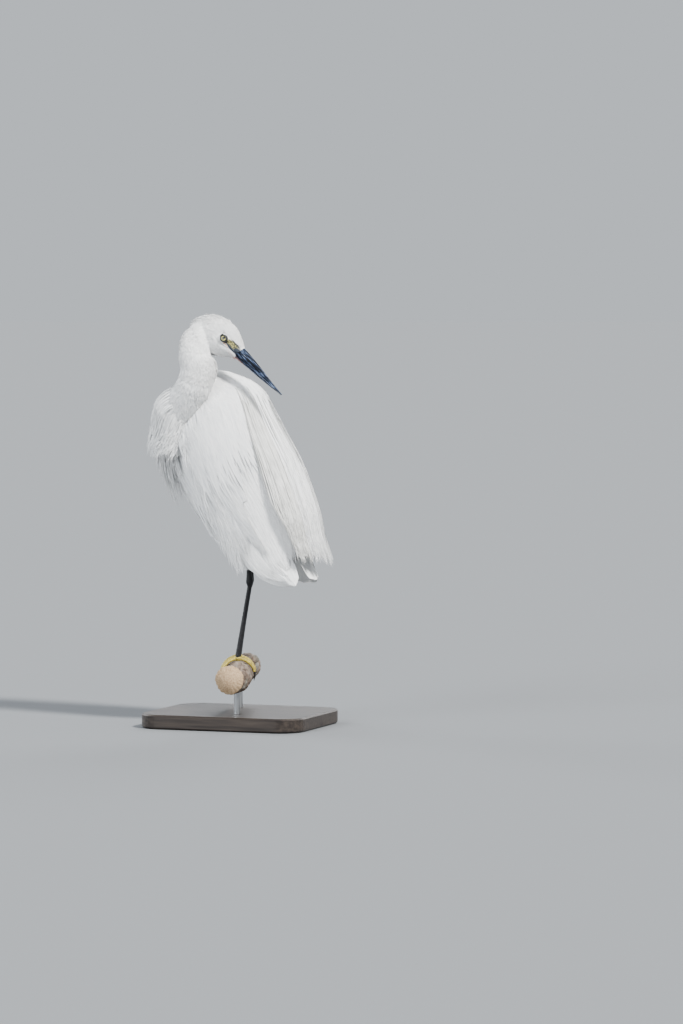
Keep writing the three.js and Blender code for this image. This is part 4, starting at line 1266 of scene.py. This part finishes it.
# Legs, feet and claws
PERCH_TOP, PERCH_RADIUS, PERCH_LENGTH = 84, 19, 190
PERCH_ALONG = from_view([0, 1, 0])
PERCH_ACROSS = from_view([1, 0, 0])
PERCH_MIDDLE = np.array([-2.4, -0.9, PERCH_TOP - PERCH_RADIUS])
TOES = (
    dict(name="1", heading=1, length=52, radius=2.5, lean=-0.04),
    dict(name="2", heading=1, length=43, radius=2.3, lean=0.24),
    dict(name="3", heading=1, length=46, radius=2.3, lean=-0.45),
    dict(name="4", heading=-1, length=29, radius=2.4, lean=0.06),
)
CLAW_LENGTH = 11


def toe_path(leg, toe, run):
    """Places along a toe round the perch, and the ways out of the perch there."""
    bend = toe["heading"] * run * math.cos(toe["lean"]) / (PERCH_RADIUS + toe["radius"])
    out = -np.sin(bend)[:, None] * PERCH_ACROSS + np.cos(bend)[:, None] * np.array([0, 0, 1.0])
    middle = np.array([leg["foot"][0], leg["foot"][1], PERCH_TOP - PERCH_RADIUS])
    along = (-leg["side"] * run * math.sin(toe["lean"]))[:, None] * PERCH_ALONG
    return middle + along + out * (PERCH_RADIUS + toe["radius"] + 0.2), out


def shank(leg):
    """The bare leg from the hem of the thigh to the foot, with plates down its front."""
    hem, ankle, foot = (np.array(leg[k], float) for k in ("hem", "ankle", "foot"))
    down = unit(ankle - hem)
    bends = [hem - 4 * down, ankle - 7 * down, ankle, mix(ankle, foot, 0.08), mix(ankle, foot, 0.5)]
    t = np.linspace(0, 1, 190)
    middle = track([*bends, foot - [0, 0, 2]])(t)
    radius = track([[3.5], [3.7], [5], [4.6], [3.7], [3.2], [3.2], [3.3], [3.7], [4.3]])(t)[:, 0] - 0.12
    rings = tube_rings(middle, radius * 0.92, radius * 1.08, 36, LEFTWARD)
    plate = np.abs(np.sin(math.pi * (np.arange(190)[:, None] / 5)))
    front = smooth(np.abs(circle(36) - math.pi), 1.5, 0.9)
    return loft(rings + (0.16 * front * (plate - 0.6))[..., None] * unit(rings - middle[:, None]))


def foot(leg):
    """The four toes of a foot with their small plates, and the ball they meet in."""
    parts = [ball(np.array(leg["foot"]) + [0, 0, -1.6], 4.6, 24, 28, np.array([0, 0, 1.0]))]
    for toe in TOES:
        t = np.linspace(0, 1, 90)
        path, out = toe_path(leg, toe, t * toe["length"])
        radius = toe["radius"] * (1 - 0.28 * t) * (1 + 0.07 * np.cos(4 * math.pi * t))
        rings = tube_rings(path, radius, radius, 26, PERCH_ALONG)
        scute = np.abs(np.sin(math.pi * np.arange(90) / 3.6))[:, None]
        away = unit(rings - path[:, None])
        top = smooth((away * out[:, None]).sum(-1), 0.1, 0.6)
        rings = rings + (0.22 * top * (scute - 0.5))[..., None] * away
        parts.append(loft(rings))
    return joined(parts)


def claw(leg, toe):
    t = np.linspace(0, 1, 30)
    path, out = toe_path(leg, toe, toe["length"] - 1 + (CLAW_LENGTH + 1.5) * t)
    radius = mix(toe["radius"] * 0.66, 0.35, t**1.2)
    return loft(tube_rings(path, radius * 0.8, radius, 16, PERCH_ALONG))


for word, leg in LEGS.items():
    make_piece("shank_" + word, *shank(leg), SHANK, ("leg_" + word,), "leg")
    make_piece("toes_" + word, *foot(leg), FOOT, ("foot_" + word,), "foot")
    for toe in TOES:
        name = word + "_" + toe["name"]
        make_piece("nail_" + name, *claw(leg, toe), CLAW, ("claw_" + name,), "claw")


# Perch and stand
def perch_point(t, aside, up):
    return PERCH_MIDDLE + t * PERCH_ALONG + aside * PERCH_ACROSS + np.array([0, 0, up])


def perch():
    """The crooked length of branch with its bark, and the stub of a twig."""
    length = PERCH_LENGTH
    bends = (
        (-length / 2, -9, 1), (-0.3 * length, -1.5, -0.5), (-18, 0, 0),
        (18, 0, 0), (0.3 * length, 2, 0.5), (length / 2, 10, 2.5),
    )
    t = np.linspace(0, 1, 180)
    path = track([perch_point(*bend) for bend in bends])(t)
    rings = tube_rings(path, PERCH_RADIUS, PERCH_RADIUS, 96, (0, 0, 1))
    angle = circle(96)[None]
    run = t[:, None] * length
    uneven = -0.8 + 0.5 * np.sin(3 * angle + run / 31) + 0.35 * np.sin(7 * angle - run / 17 + 1)
    uneven = uneven + 0.3 * np.sin(run / 13 + 2)
    groove = np.sin(9 * angle + 1.4 * np.sin(run / 15) + 0.8 * np.sin(run / 6 + 2 * angle))
    rise = uneven * 0.8 - 0.7 * np.abs(groove) ** 6 - 0.2
    rings = rings + rise[..., None] * unit(rings - path[:, None])
    stub_path = mix(perch_point(54, 0, 0), perch_point(72, 22, 15), np.linspace(0, 1, 30)[:, None])
    stub_radius = mix(6.5, 4.7, t[::6])
    stub = tube_rings(stub_path, stub_radius, stub_radius, 28, (0, 0, 1))
    return joined([loft(rings), loft(stub)])


branch = make_piece("perch_branch", *perch(), bark_look(), ("perch",), "bark")
branch.data.materials.append(cut_wood_look())
# The triangles are the cut ends.
is_end = read(branch.data.polygons, "loop_total", kind=int) == 3
branch.data.polygons.foreach_set("material_index", is_end.astype(np.int32))

for name, material in (("stand_base", base_look()), ("stand_rod_1", STEEL), ("stand_rod_2", STEEL)):
    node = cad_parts[name]
    node.data.materials.clear()
    node.data.materials.append(material)


# Floor and light
def stage_floor():
    look = Look("floor", (0.225, 0.233, 0.242), 0.9)
    look.shader.inputs["Specular IOR Level"].default_value = 0.0
    bpy.ops.mesh.primitive_plane_add(size=400, location=(0, 0, -0.0005))
    floor = bpy.context.object
    floor.name = "floor"
    floor.data.materials.append(look.material)


def sun(direction, strength, angle, colour):
    """A far, soft-edged light, placed by what is right, away and up as the camera sees it."""
    data = bpy.data.lights.new("sun", "SUN")
    data.energy = strength
    data.angle = math.radians(angle)
    data.color = colour
    obj = bpy.data.objects.new("sun", data)
    obj.rotation_euler = Vector(from_view(direction).tolist()).to_track_quat("Z", "Y").to_euler()
    scene.collection.objects.link(obj)


stage_floor()
sun((0.8, -0.8, 1.05), 3.2, 8, (1.0, 0.985, 0.955))
sun((-0.8, -0.8, 0.5), 1.15, 30, (0.93, 0.96, 1.0))
sun((-0.9, 0.7, 0.45), 1.1, 30, (0.96, 0.98, 1.0))
sun((0.3, 1.0, 0.7), 0.9, 30, (0.96, 0.98, 1.0))
world = bpy.data.worlds.new("studio")
scene.world = world
world.use_nodes = True
world.node_tree.nodes["Background"].inputs["Color"].default_value = (0.9, 0.95, 1.0, 1)
world.node_tree.nodes["Background"].inputs["Strength"].default_value = 0.35
scene.view_settings.view_transform = "AgX"
scene.view_settings.look = "AgX - Medium High Contrast"
scene.view_settings.exposure = 0.66
